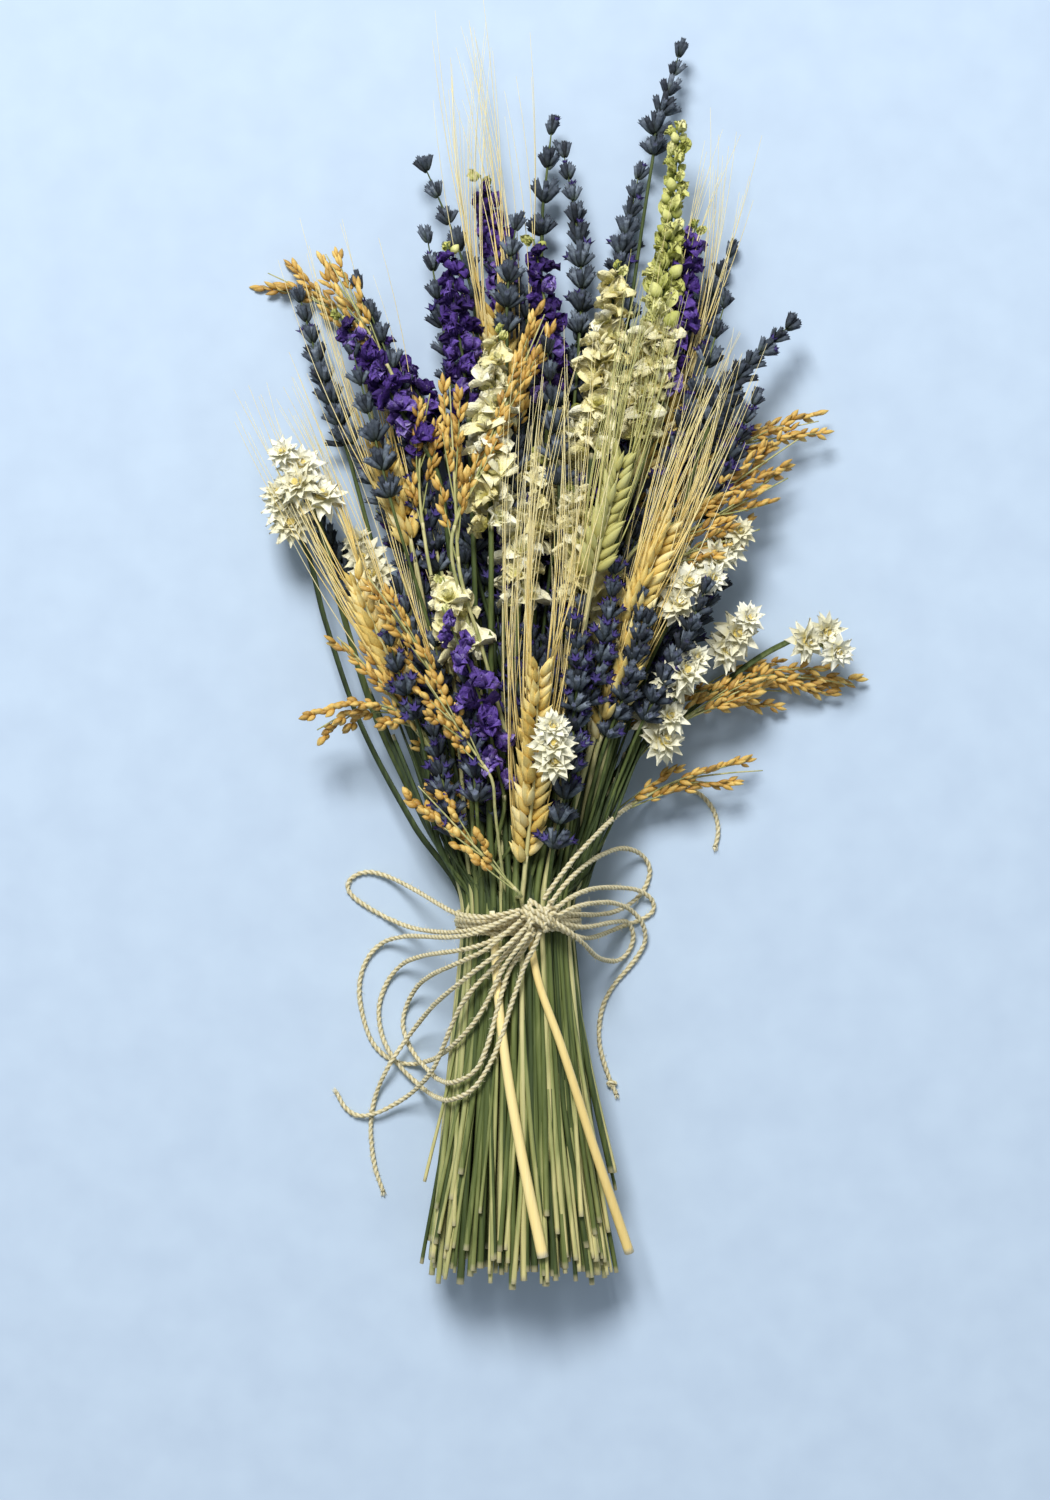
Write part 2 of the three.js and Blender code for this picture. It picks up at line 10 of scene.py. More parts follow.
import bpy
import numpy as np
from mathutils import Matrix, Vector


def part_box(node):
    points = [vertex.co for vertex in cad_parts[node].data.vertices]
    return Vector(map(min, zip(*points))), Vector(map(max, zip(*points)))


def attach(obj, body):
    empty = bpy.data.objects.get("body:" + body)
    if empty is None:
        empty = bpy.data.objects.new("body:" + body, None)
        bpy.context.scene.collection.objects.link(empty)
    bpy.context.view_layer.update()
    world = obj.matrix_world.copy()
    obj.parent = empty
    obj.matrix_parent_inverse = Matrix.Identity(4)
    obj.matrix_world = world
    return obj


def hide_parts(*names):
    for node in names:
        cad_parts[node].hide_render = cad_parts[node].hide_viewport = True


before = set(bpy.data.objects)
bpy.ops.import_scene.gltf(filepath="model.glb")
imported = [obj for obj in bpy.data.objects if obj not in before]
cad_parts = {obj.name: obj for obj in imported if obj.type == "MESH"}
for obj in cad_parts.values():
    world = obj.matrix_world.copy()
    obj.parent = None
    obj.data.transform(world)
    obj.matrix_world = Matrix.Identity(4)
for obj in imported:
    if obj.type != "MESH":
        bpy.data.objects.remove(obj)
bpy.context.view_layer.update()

MM = 0.001
GOLDEN_ANGLE = math.radians(137.5)
FLOOR_GAP = 0.1 * MM  # under what lies on the surface: nothing reaches below it


def box_corners(node):
    """The lowest and the highest corner of a CAD node."""
    low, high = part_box(node)
    return np.array(low), np.array(high)


# The middle of the tie, on the surface: the twine's routes and the listed sprigs start there.
wraps_low, wraps_high = box_corners("twine_wraps")
wraps_half = (wraps_high - wraps_low) / 2
tie_middle = (wraps_low + wraps_high) / 2
tie_foot = tie_middle * (1, 1, 0)


# ---- Lines ------------------------------------------------------------------------------------


def unit(vectors):
    """Vectors, made one long."""
    return vectors / np.maximum(np.linalg.norm(vectors, axis=-1, keepdims=True), 1e-12)


def interpolated(wanted, known, vectors):
    """The vectors at the wanted places, from those at known places."""
    return np.stack([np.interp(wanted, known, vectors[:, axis]) for axis in range(3)], axis=-1)


CURVE_STEPS = 16  # from one given point of a curve to the next


def curve_through(points, spacing, even=False):
    """A smooth line through points, with samples at an even spacing, and the station of each.

    With even set, each stretch takes an equal share of the curve's run, as on the twine in CAD."""
    points = np.asarray(points, float)
    gaps = np.linalg.norm(np.diff(points, axis=0), axis=1)
    knots = np.arange(len(points), dtype=float) if even else np.append(0, np.cumsum(gaps))
    slopes = np.gradient(points, knots, axis=0)
    share = np.arange(CURVE_STEPS)[:, None] / CURVE_STEPS
    fine = []
    for i, run in enumerate(np.diff(knots)):
        start = (1 + 2 * share) * (1 - share) ** 2 * points[i]
        start = start + share * (1 - share) ** 2 * run * slopes[i]
        end = share**2 * (3 - 2 * share) * points[i + 1]
        end = end + share**2 * (share - 1) * run * slopes[i + 1]
        fine.append(start + end)
    fine = np.concatenate([*fine, points[-1:]])
    station = np.arange(len(fine)) / CURVE_STEPS
    distance = np.append(0, np.cumsum(np.linalg.norm(np.diff(fine, axis=0), axis=1)))
    wanted = np.linspace(0, distance[-1], max(2, round(distance[-1] / spacing) + 1))
    return interpolated(wanted, distance, fine), np.interp(wanted, distance, station)


class Line:
    """A line of points with three directions at each: along it, to its left and up from it."""

    def __init__(self, points):
        self.points = points
        self.distance = np.append(0, np.cumsum(np.linalg.norm(np.diff(points, axis=0), axis=1)))
        self.length = self.distance[-1]
        self.along = unit(np.gradient(points, axis=0))
        left = np.cross((0, 0, 1), self.along[0])
        turned = []
        for direction in self.along:
            left = unit(left - direction * (left @ direction))
            turned.append(left)
        self.left = np.array(turned)
        self.up = np.cross(self.along, self.left)

    def at(self, distance):
        """The points and the three directions at some distances from the line's start."""

        def pick(values):
            return interpolated(distance, self.distance, values)

        return pick(self.points), unit(pick(self.along)), unit(pick(self.left)), unit(pick(self.up))


# ---- Meshes -----------------------------------------------------------------------------------
# Each point carries a tint of three shares that the materials read: the shade of its part, how far
# it is from its part's base to its tip, and a mark on what is coloured apart.
# The shade is mostly a part's own tone; on petal folds, twine plies and the stem mass it also carries
# painted light and shade.
SHADE, ALONG, MARK = 0, 1, 2


def grid_faces(rows, columns, closed=False):
    """The four-cornered faces of rows of points. Closed, the last column meets the first."""
    across = np.arange(columns if closed else columns - 1)
    row = np.arange(rows - 1)[:, None] * columns
    here, there = row + across, row + (across + 1) % columns
    return np.stack([here, there, there + columns, here + columns], axis=-1).reshape(-1, 4)


def cap_faces(first, sides):
    """The faces that close an even ring of points, seen from the end of its tube."""
    step = np.arange(sides // 2 - 1)
    return first + np.stack([step, step + 1, sides - 2 - step, sides - 1 - step], axis=-1)


def closed_tube_faces(rows, sides):
    """The faces of a tube of rings with both ends closed."""
    start, end = cap_faces(0, sides)[:, ::-1], cap_faces((rows - 1) * sides, sides)
    return np.concatenate([grid_faces(rows, sides, closed=True), start, end])


NO_FIBRE_WAY = (0.31, 0.17, 0.93)  # a direction that no fibre runs in, to set its sides off from
COPY_SHADE, FORM_SHADE = 0.7, 0.3  # the shares of a copy's shade that come from it and its form


class Shape:
    """Parts gathered into one mesh, or into a form to copy."""

    def __init__(self):
        self.points = []
        self.tints = []
        self.faces = []
        self.slots = []
        self.count = 0

    def add(self, points, faces, tints, slot=0):
        """Adds a part: its points, four-cornered faces, tints and material slot."""
        self.points.append(points)
        self.tints.append(np.broadcast_to(tints, points.shape))
        self.faces.append(faces + self.count)
        self.slots.append(np.full(len(faces), slot, np.int32))
        self.count += len(points)

    def add_alike(self, points, faces, tints, slot=0):
        """Adds parts that share their faces, stacked along the first axis of points and tints."""
        apart = np.arange(len(points)) * math.prod(points.shape[1:-1])
        corners = faces + apart[:, None, None]
        self.add(points.reshape(-1, 3), corners.reshape(-1, 4), tints.reshape(-1, 3), slot)

    def gathered(self):
        """The points, faces and tints of all parts."""
        return np.concatenate(self.points), np.concatenate(self.faces), np.concatenate(self.tints)

    def mark_since(self, first, share):
        """Marks all the parts from the first one on."""
        for number in range(first, len(self.tints)):
            self.tints[number] = self.tints[number] * (1, 1, 0) + (0, 0, share)

    def add_copies(self, form, at, along, outward, size, shade, slot=0):
        """Adds a copy of a form at each place, its Z turned along and its X outward."""
        points, faces, tints = form
        axes = np.stack([outward, np.cross(along, outward), along], axis=-1)
        size = np.reshape(size, (-1, 1, 1))
        placed = at[:, None] + np.einsum("cij,pj->cpi", axes, points) * size
        tint = np.repeat(tints[None], len(at), axis=0)
        tint[..., SHADE] = COPY_SHADE * np.reshape(shade, (-1, 1)) + FORM_SHADE * tint[..., SHADE]
        self.add_alike(placed, faces, tint, slot)

    def add_tube(self, line, radius, sides, shade, slot=0, mark_ends=0.0):
        """Adds a closed tube about a line. Its radius is one value, one per ring or one per point."""
        rings = len(line.points)
        angle = np.arange(sides) * 2 * math.pi / sides
        radius = np.asarray(radius, float)
        radius = radius.reshape(rings if radius.size > 1 else 1, -1)
        radius = np.broadcast_to(radius, (rings, sides))
        across = np.cos(angle)[:, None] * line.left[:, None] + np.sin(angle)[:, None] * line.up[:, None]
        points = line.points[:, None] + radius[..., None] * across
        tints = np.zeros((rings, sides, 3))
        tints[..., SHADE] = shade
        tints[..., ALONG] = np.linspace(0, 1, rings)[:, None]
        tints[[0, -1], :, MARK] = mark_ends
        self.add(points.reshape(-1, 3), closed_tube_faces(rings, sides), tints.reshape(-1, 3), slot)

    def add_fibres(self, start, middle, end, thickness, shade, rings):
        """Adds thin tapering four-sided fibres, each bending past its middle point to its end."""
        share = np.linspace(0, 1, rings)[:, None]
        start, middle, end = (points[:, None] for points in (start, middle, end))
        line = (1 - share) ** 2 * start + 2 * share * (1 - share) * middle + share**2 * end
        heading = unit(end - start)
        side = unit(np.cross(heading, NO_FIBRE_WAY))
        other = np.cross(heading, side)
        angle = np.arange(4) * math.pi / 2
        ring = np.cos(angle)[:, None] * side[:, :, None] + np.sin(angle)[:, None] * other[:, :, None]
        taper = thickness / 2 * (1 - 0.75 * share[None, :, :, None])
        points = line[:, :, None] + taper * ring
        tints = np.zeros(points.shape)
        tints[..., SHADE] = np.reshape(shade, (-1, 1, 1))
        tints[..., ALONG] = share
        self.add_alike(points, closed_tube_faces(rings, 4), tints)

    def make(self, name, materials):
        """The Blender object, riding on the part."""
        points, faces, tints = self.gathered()
        points[:, 2] = np.maximum(points[:, 2], FLOOR_GAP)
        mesh = bpy.data.meshes.new(name)
        mesh.vertices.add(len(points))
        mesh.vertices.foreach_set("co", points.astype(np.float32).ravel())
        mesh.loops.add(faces.size)
        mesh.loops.foreach_set("vertex_index", faces.astype(np.int32).ravel())
        mesh.polygons.add(len(faces))
        mesh.polygons.foreach_set("loop_start", np.arange(0, faces.size, 4, dtype=np.int32))
        mesh.polygons.foreach_set("material_index", np.concatenate(self.slots))
        mesh.update(calc_edges=True)
        mesh.shade_smooth()
        colours = np.ones((len(points), 4), np.float32)
        colours[:, :3] = tints
        attribute = mesh.color_attributes.new(name="tint", type="FLOAT_COLOR", domain="POINT")
        attribute.data.foreach_set("color", colours.ravel())
        for material in materials:
            mesh.materials.append(material)
        piece = bpy.data.objects.new(name, mesh)
        bpy.context.scene.collection.objects.link(piece)
        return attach(piece, "root")


def grow(shape, form, line, distance, turn, tilt, off, size, shade, slot=0):
    """Adds copies of a form standing on a line: turned about it, tilted out and set off from it."""
    at, along, left, up = line.at(distance)
    turn, tilt = (np.broadcast_to(angle, distance.shape)[:, None] for angle in (turn, tilt))
    out = np.cos(turn) * left + np.sin(turn) * up
    heading = np.cos(tilt) * along + np.sin(tilt) * out
    outward = np.cos(tilt) * out - np.sin(tilt) * along
    off = np.broadcast_to(off, distance.shape)[:, None]
    shape.add_copies(form, at + off * out, heading, outward, size, shade, slot)


def spun_form(heights, radii, length, thickness, sides, ribs=0.0, flatness=1.0, teeth=0.0, throat=0):
    """A form of revolution about Z, from heights as shares of its length and radii as shares of its
    thickness. Ribs make every other side stand out. Throat is how many of the last rings are marked,
    as the inside of a mouth, and teeth is the depth of the mouth's edge."""
    heights, radii = np.array(heights) * length, np.array(radii) * thickness
    rings = len(heights)
    angle = np.arange(sides) * 2 * math.pi / sides
    rib = 1 + ribs * np.where(np.arange(sides) % 2 == 0, 1, -1)
    points = np.zeros((rings, sides, 3))
    points[..., 0] = radii[:, None] * np.cos(angle) * rib
    points[..., 1] = radii[:, None] * np.sin(angle) * rib * flatness
    points[..., 2] = heights[:, None]
    if teeth:
        points[rings - throat - 1, :, 2] += teeth * np.where(np.arange(sides) % 2 == 0, 1, -1)
    tints = np.zeros(points.shape)
    tints[..., ALONG] = (heights / heights.max())[:, None]
    if throat:
        tints[rings - throat :, :, MARK] = 1
    return points.reshape(-1, 3), closed_tube_faces(rings, sides), tints.reshape(-1, 3)


def random_for(name):
    """Random numbers that are the same in every run and differ from name to name."""
    return np.random.default_rng([ord(letter) for letter in name])


def any_phase(rng, count=None):
    """Where a wave starts: one value or several, from a little over a full turn."""
    return rng.uniform(0, 6.3, count)


# ---- Materials --------------------------------------------------------------------------------


def colour(red, green, blue):
    """A colour in linear light, from the usual 0 to 255 values."""
    shares = (value / 255 for value in (red, green, blue))
    return (*(s / 12.92 if s <= 0.04045 else ((s + 0.055) / 1.055) ** 2.4 for s in shares), 1)


class Finish:
    """A material in the making, with short ways to add its nodes."""

    def __init__(self, name):
        self.material = bpy.data.materials.new(name)
        self.material.use_nodes = True
        self.nodes = self.material.node_tree.nodes
        self.links = self.material.node_tree.links
        self.surface = self.nodes["Principled BSDF"]

    def node(self, kind, inputs=(), **settings):
        """A node with its settings, and its inputs as (name, value or socket to link)."""
        node = self.nodes.new(kind)
        for name, value in settings.items():
            setattr(node, name, value)
        for name, value in inputs:
            if isinstance(value, bpy.types.NodeSocket):
                self.links.new(value, node.inputs[name])
            else:
                node.inputs[name].default_value = value
        return node

    def tint(self):
        """The shade, the share from base to tip, and the mark of each point."""
        attribute = self.node("ShaderNodeAttribute", attribute_name="tint")
        parts = self.node("ShaderNodeSeparateColor", [("Color", attribute.outputs["Color"])])
        return parts.outputs["Red"], parts.outputs["Green"], parts.outputs["Blue"]

    def noise(self, scale, detail=3.0, stretch=(1, 1, 1)):
        """Noise with features of about one over scale, in metres, stretched along the axes."""
        place = self.node("ShaderNodeTexCoord").outputs["Object"]
        stretched = self.node("ShaderNodeMapping", [("Vector", place), ("Scale", stretch)])
        inputs = [("Vector", stretched.outputs["Vector"]), ("Scale", scale), ("Detail", detail)]
        return self.node("ShaderNodeTexNoise", inputs).outputs["Fac"]

    def math(self, operation, first, second):
        """The sum, product or the like of two shares."""
        inputs = [(0, first), (1, second)]
        return self.node("ShaderNodeMath", inputs, operation=operation).outputs["Value"]

    def between(self, value, low, high):
        """A share, spread from 0.3 to 0.7 of its range, turned into a value from low to high."""
        from_range = [("From Min", 0.3), ("From Max", 0.7)]
        inputs = [("Value", value), *from_range, ("To Min", low), ("To Max", high)]
        return self.node("ShaderNodeMapRange", inputs).outputs["Result"]

    def ramp(self, share, stops):
        """Colours along a share, from (place, colour) pairs."""
        ramp = self.node("ShaderNodeValToRGB", [("Fac", share)])
        elements = ramp.color_ramp.elements
        while len(elements) < len(stops):
            elements.new(0.5)
        for element, (place, value) in zip(elements, stops):
            element.position = place
            element.color = value
        return ramp.outputs["Color"]

    def blend(self, share, first, second, mode="MIX"):
        """Two colours mixed by a share."""
        mix = self.node("ShaderNodeMix", data_type="RGBA", blend_type=mode)
        for socket, value in ((mix.inputs[0], share), (mix.inputs[6], first), (mix.inputs[7], second)):
            if isinstance(value, bpy.types.NodeSocket):
                self.links.new(value, socket)
            else:
                socket.default_value = value
        return mix.outputs[2]

    def dress(self, colour_socket, roughness, height, depth):
        """Sets the colour, a roughness about a value, and a bump of a depth in metres."""
        self.links.new(colour_socket, self.surface.inputs["Base Color"])
        varied = self.between(height, roughness - 0.08, roughness + 0.08)
        self.links.new(varied, self.surface.inputs["Roughness"])
        bump = self.node("ShaderNodeBump", [("Height", height), ("Distance", depth)])
        self.links.new(bump.outputs["Normal"], self.surface.inputs["Normal"])
        return self.material


def dried_finish(name, shades, base, marked, grain, depth, roughness, stretch=(1, 1, 1)):
    """A dried plant part: its shades from dark to light, what its base is darkened by, its marked
    colour, its grains per metre, and the depth of the grain."""
    finish = Finish(name)
    shade, along, mark = finish.tint()
    mottle = finish.noise(grain, 4.0, stretch)
    own_shade, mottled = (finish.math("MULTIPLY", *part) for part in ((shade, 0.65), (mottle, 0.45)))
    mixed = finish.math("ADD", own_shade, mottled)
    places = np.linspace(0.12, 0.92, len(shades))
    own = finish.ramp(mixed, [(place, colour(*tone)) for place, tone in zip(places, shades)])
    near_base = finish.ramp(along, [(0.0, (1, 1, 1, 1)), (0.6, (0, 0, 0, 1))])
    shaded = finish.blend(near_base, own, colour(*base), "MULTIPLY")
    marked_share = finish.math("MULTIPLY", mark, finish.between(mottle, 0.75, 1.0))
    whole = finish.blend(marked_share, shaded, colour(*marked))
    fine = finish.noise(grain * 3, 3.0, stretch)
    return finish.dress(whole, roughness, fine, depth)


lavender_finish = dried_finish(
    "lavender_calyx",
    [(20, 24, 30), (48, 55, 66), (77, 87, 100), (126, 137, 150), (156, 160, 142)],
    base=(150, 166, 104),
    marked=(66, 50, 124),
    grain=900,
    depth=0.25 * MM,
    roughness=0.8,
)
purple_finish = dried_finish(
    "purple_larkspur_petal",
    [(18, 6, 38), (42, 17, 84), (64, 31, 120), (106, 78, 166), (188, 176, 218)],
    base=(170, 140, 190),
    marked=(190, 176, 214),
    grain=500,
    depth=0.5 * MM,
    roughness=0.7,
)
cream_finish = dried_finish(
    "cream_larkspur_petal",
    [(208, 190, 112), (240, 229, 168), (252, 245, 204), (255, 253, 234)],
    base=(222, 222, 164),
    marked=(164, 172, 84),
    grain=500,
    depth=0.5 * MM,
    roughness=0.7,
)
bud_finish = dried_finish(
    "green_bud",
    [(140, 144, 62), (186, 188, 98), (222, 220, 140), (244, 240, 190)],
    base=(190, 200, 150),
    marked=(150, 150, 80),
    grain=700,
    depth=0.2 * MM,
    roughness=0.7,
)
wheat_finish = dried_finish(
    "wheat_husk",
    [(180, 146, 68), (228, 198, 108), (247, 224, 144), (254, 244, 198)],
    base=(240, 224, 180),
    marked=(176, 180, 108),
    grain=1400,
    depth=0.2 * MM,
    roughness=0.6,
)
everlasting_finish = dried_finish(
    "everlasting_bract",
    [(218, 210, 170), (242, 238, 212), (250, 248, 232)],
    base=(226, 220, 164),
    marked=(226, 204, 110),
    grain=700,
    depth=0.15 * MM,
    roughness=0.6,
)
grass_finish = dried_finish(
    "golden_grass_seed",
    [(148, 110, 46), (202, 162, 78), (232, 198, 110), (249, 231, 162)],
    base=(232, 210, 170),
    marked=(238, 214, 158),
    grain=1300,
    depth=0.15 * MM,
    roughness=0.5,
)
stem_finish = dried_finish(
    "dried_stem",
    [(24, 34, 14), (58, 74, 30), (100, 112, 56), (160, 164, 104), (224, 212, 154)],
    base=(240, 240, 226),
    marked=(226, 214, 168),
    grain=700,
    depth=0.2 * MM,
    roughness=0.7,
    stretch=(1, 0.06, 1),
)
straw_finish = dried_finish(
    "straw",
    [(238, 208, 130), (252, 230, 160), (255, 242, 190)],
    base=(255, 250, 240),
    marked=(250, 240, 206),
    grain=600,
    depth=0.15 * MM,
    roughness=0.45,
    stretch=(1, 0.05, 1),
)
twine_finish = dried_finish(
    "hemp_twine",
    [(142, 122, 78), (204, 190, 142), (234, 222, 180), (250, 242, 212)],
    base=(255, 255, 255),
    marked=(226, 214, 178),
    grain=1100,
    depth=0.3 * MM,
    roughness=0.9,
)


# ---- The forms that the flowers are made of ---------------------------------------------------
CALYX_LENGTH = 6.2 * MM


def calyx_form(sides):
    """One flower cup of lavender: a ribbed tube with a toothed mouth."""
    profile = (0, 0.12, 0.4, 0.75, 1.0, 0.82), (0.35, 0.68, 0.92, 0.9, 1.0, 0.5)
    mouth = {"teeth": 0.45 * MM, "throat": 1}
    points, faces, tints = spun_form(*profile, CALYX_LENGTH, MM, sides, ribs=0.12, **mouth)
    tints[:, MARK] *= 0.25
    return points, faces, tints


def corolla_form():
    """A dried lavender flower that stands out of its cup."""
    profile = (0.3, 0.75, 1.05, 1.22, 1.0), (0.4, 0.75, 0.95, 1.75, 0.4)
    mouth = {"teeth": 0.6 * MM, "throat": 1}
    points, faces, tints = spun_form(*profile, CALYX_LENGTH, MM, 10, ribs=0.25, **mouth)
    tints[:, MARK] = 1
    return points, faces, tints


def bud_form(length, thickness):
    """A closed bud, pointed at its tip."""
    profile = (0, 0.08, 0.3, 0.55, 0.8, 0.95, 1.0), (0.12, 0.3, 0.48, 0.5, 0.32, 0.12, 0.02)
    return spun_form(*profile, length, thickness, 8, ribs=0.08)


def petal_sheet(rng, length, width, lift, curl, ruffle, mark=0.0, rows=7, columns=7, point=0.8):
    """A thin crumpled petal. It starts at its base on Z, leans out by lift and goes on by curl.
    The higher its point, the more it narrows to its tip."""
    share = np.linspace(0, 1, rows)
    lean = lift + curl * share
    steps = np.diff(share, prepend=0) * length
    out = np.cumsum(np.sin(lean) * steps)
    rise = np.cumsum(np.cos(lean) * steps)
    half = width / 2 * np.sin(math.pi * (0.18 + 0.79 * share)) ** point
    across = np.linspace(-1, 1, columns)
    wave = rng.uniform(2.0, 3.4)
    phase = any_phase(rng, 2)
    fold = np.sin(wave * math.pi * across[None] + phase[0] + 2 * share[:, None])
    fold = fold + 0.6 * np.sin(2.1 * wave * across[None] - phase[1] + 5 * share[:, None])
    depth = ruffle * share[:, None] * fold + 0.3 * half[:, None] * across[None] ** 2
    points = np.zeros((rows, columns, 3))
    points[..., 0] = out[:, None] - np.cos(lean)[:, None] * depth
    points[..., 1] = half[:, None] * across[None] * (1 - 0.12 * np.abs(fold))
    points[..., 2] = rise[:, None] + np.sin(lean)[:, None] * depth
    points += rng.normal(0, 0.12 * MM, points.shape)
    tints = np.zeros(points.shape)
    # Painted light and shade: the shade is partly random, and one side of every fold is painted lighter
    # than the other, as lit crests beside shaded troughs.
    tints[..., SHADE] = rng.random() * 0.6 + 0.4 * (fold > 0)
    tints[..., ALONG] = share[:, None]
    tints[..., MARK] = mark
    return points.reshape(-1, 3), grid_faces(rows, columns), tints.reshape(-1, 3)


def turned(part, angle):
    """A part turned about Z."""
    points, faces, tints = part
    turn = np.array([
        [math.cos(angle), -math.sin(angle), 0],
        [math.sin(angle), math.cos(angle), 0],
        [0, 0, 1],
    ])
    return points @ turn.T, faces, tints


BROAD_PETALS = 6
SMALL_PETALS = 3


def floret_form(rng, radius, openness, crumple):
    """A crumpled larkspur flower: broad petals round small pale ones."""
    flower = Shape()
    for petal in range(BROAD_PETALS):
        lift = math.radians(rng.uniform(8, 46)) * openness
        curl = math.radians(rng.uniform(-30, 85)) * openness
        length, width = radius * rng.uniform(0.75, 1.15), radius * rng.uniform(0.75, 1.05)
        sheet = petal_sheet(rng, length, width, lift, curl, radius * crumple)
        flower.add(*turned(sheet, petal * 2 * math.pi / BROAD_PETALS + rng.normal(0, 0.25)))
    for petal in range(SMALL_PETALS):
        sizes = radius * 0.6, radius * 0.5, math.radians(8), 0.5, radius * 0.1
        sheet = petal_sheet(rng, *sizes, mark=0.35, rows=5, columns=4)
        flower.add(*turned(sheet, petal * 2 * math.pi / SMALL_PETALS + rng.normal(0, 0.3)))
    return flower.gathered()


def husk_form(length, width):
    """One pointed husk of an ear, ribbed along its back."""
    heights = (0, 0.07, 0.22, 0.42, 0.62, 0.8, 0.93, 1.0)
    radii = (0.2, 0.62, 0.95, 1.0, 0.8, 0.46, 0.16, 0.04)
    return spun_form(heights, radii, length, width / 2, 10, ribs=0.07, flatness=0.72)


def spikelet_form(rng):
    """The husks of one wheat spikelet, fanned out side by side."""
    spikelet = Shape()
    for side, tilt, size in ((-1, 0.42, 0.92), (1, 0.42, 0.95), (0, 0.05, 1.05)):
        points, faces, tints = husk_form(9.5 * MM * size, 3.1 * MM * size)
        lean = side * tilt + rng.normal(0, 0.04)
        sideways = points[:, 1] * math.cos(lean) + points[:, 2] * math.sin(lean)
        upwards = points[:, 2] * math.cos(lean) - points[:, 1] * math.sin(lean)
        outwards = points[:, 0] + (0.5 * MM if side == 0 else 0)
        tints[:, SHADE] = rng.random()
        spikelet.add(np.stack([outwards, sideways, upwards], axis=1), faces, tints)
    return spikelet.gathered()


def seed_form(length, width):
    """A plump pointed grass seed."""
    profile = (0, 0.1, 0.3, 0.52, 0.74, 0.9, 1.0), (0.18, 0.6, 0.95, 1.0, 0.72, 0.34, 0.06)
    return spun_form(*profile, length, width / 2, 8, ribs=0.06, flatness=0.8)


# The layers of bracts, from the outermost in: how many, how far they lean out, in degrees, how long
# they are as a share of the flower's radius, and how high they start, in half millimetres.
bract_layers = (
    (9, 112, 1.0, 0.0),
    (9, 84, 1.0, 0.6),
    (8, 56, 0.84, 1.1),
    (6, 30, 0.56, 1.6),
)
DISC_FLORETS = 46


def everlasting_form(rng, radius):
    """An everlasting's flower: layers of pointed papery bracts round a low yellow centre."""
    flower = Shape()
    for count, angle, length, height in bract_layers:
        for bract in range(count):
            lift = math.radians(angle * 0.8 + rng.normal(0, 5))
            curl = math.radians(angle * 0.15 + rng.normal(0, 8))
            size = radius * length * rng.uniform(0.88, 1.06)
            sheet = petal_sheet(rng, size, radius * 0.5, lift, curl, radius * 0.03, columns=5, point=1.4)
            turn = (bract + height) * 2 * math.pi / count + rng.normal(0, 0.08)
            points, faces, tints = turned(sheet, turn)
            flower.add(points + (0, 0, height * 0.5 * MM), faces, tints)
    add_flower_centre(flower, rng, radius)
    base = (-2.4, -1.8, -0.6, 0.8, 1.4), (0.1, 0.3, 0.48, 0.5, 0.2)
    flower.add(*spun_form(*base, MM, radius, 10))
    return flower.gathered()


def add_flower_centre(flower, rng, radius):
    """Adds the centre of an everlasting's flower: a low dome, set with tiny florets in a spiral."""
    dome = (0.5, 1.2, 2.0, 2.5, 2.8), (0.26, 0.24, 0.2, 0.12, 0.02)
    tiny_floret = (0, 0.6, 1.1, 1.3), (0.4, 0.42, 0.3, 0.08)
    first = len(flower.tints)
    flower.add(*spun_form(*dome, MM, radius, 12))
    for floret in range(DISC_FLORETS):
        share = floret / DISC_FLORETS
        turn = floret * GOLDEN_ANGLE
        out = 0.2 * radius * math.sqrt(share)
        height = (2.6 - 1.3 * share**1.5) * MM
        points, faces, tints = spun_form(*tiny_floret, MM, MM, 6)
        tints[:, SHADE] = rng.random()
        flower.add(points + (out * math.cos(turn), out * math.sin(turn), height), faces, tints)
    flower.mark_since(first, 1)


def variants(make, count, name, *sizes):
    """Several forms of a kind, which differ by chance."""
    rng = random_for(name)
    return [make(rng, *sizes) for _ in range(count)]


calyx = calyx_form(10)
deep_calyx = calyx_form(8)
corolla = corolla_form()
green_bud = bud_form(4.6 * MM, 3.5 * MM)
purple_florets = variants(floret_form, 4, "purple", 7.2 * MM, 1.0, 0.2)
cream_florets = variants(floret_form, 4, "cream", 8.8 * MM, 1.1, 0.14)
budding_florets = variants(floret_form, 3, "budding", 4.6 * MM, 0.5, 0.16)
spikelets = variants(spikelet_form, 3, "spikelet")
pointed_seed = seed_form(5.0 * MM, 2.0 * MM)
round_seed = seed_form(4.1 * MM, 2.6 * MM)
everlasting_flowers = variants(everlasting_form, 3, "everlasting", 8.8 * MM)


# ---- Twine ------------------------------------------------------------------------------------
TWINE = 1.8 * MM
TWINE_SIDES = 12
PLY_RADIUS, PLY_OFFSET = 0.74, 0.26  # of its two plies, as shares of the twine's radius
PLY_TURN = 4.4 * MM  # along the twine, in which its two plies go once round each other
TWINE_STEP = 0.6 * MM


def twine_section():
    """How far the twine's surface is from its middle, all round: two round plies side by side."""
    angle = np.arange(TWINE_SIDES) * 2 * math.pi / TWINE_SIDES
    inner = PLY_RADIUS**2 - (PLY_OFFSET * np.sin(angle)) ** 2
    return TWINE / 2 * (PLY_OFFSET * np.abs(np.cos(angle)) + np.sqrt(inner))


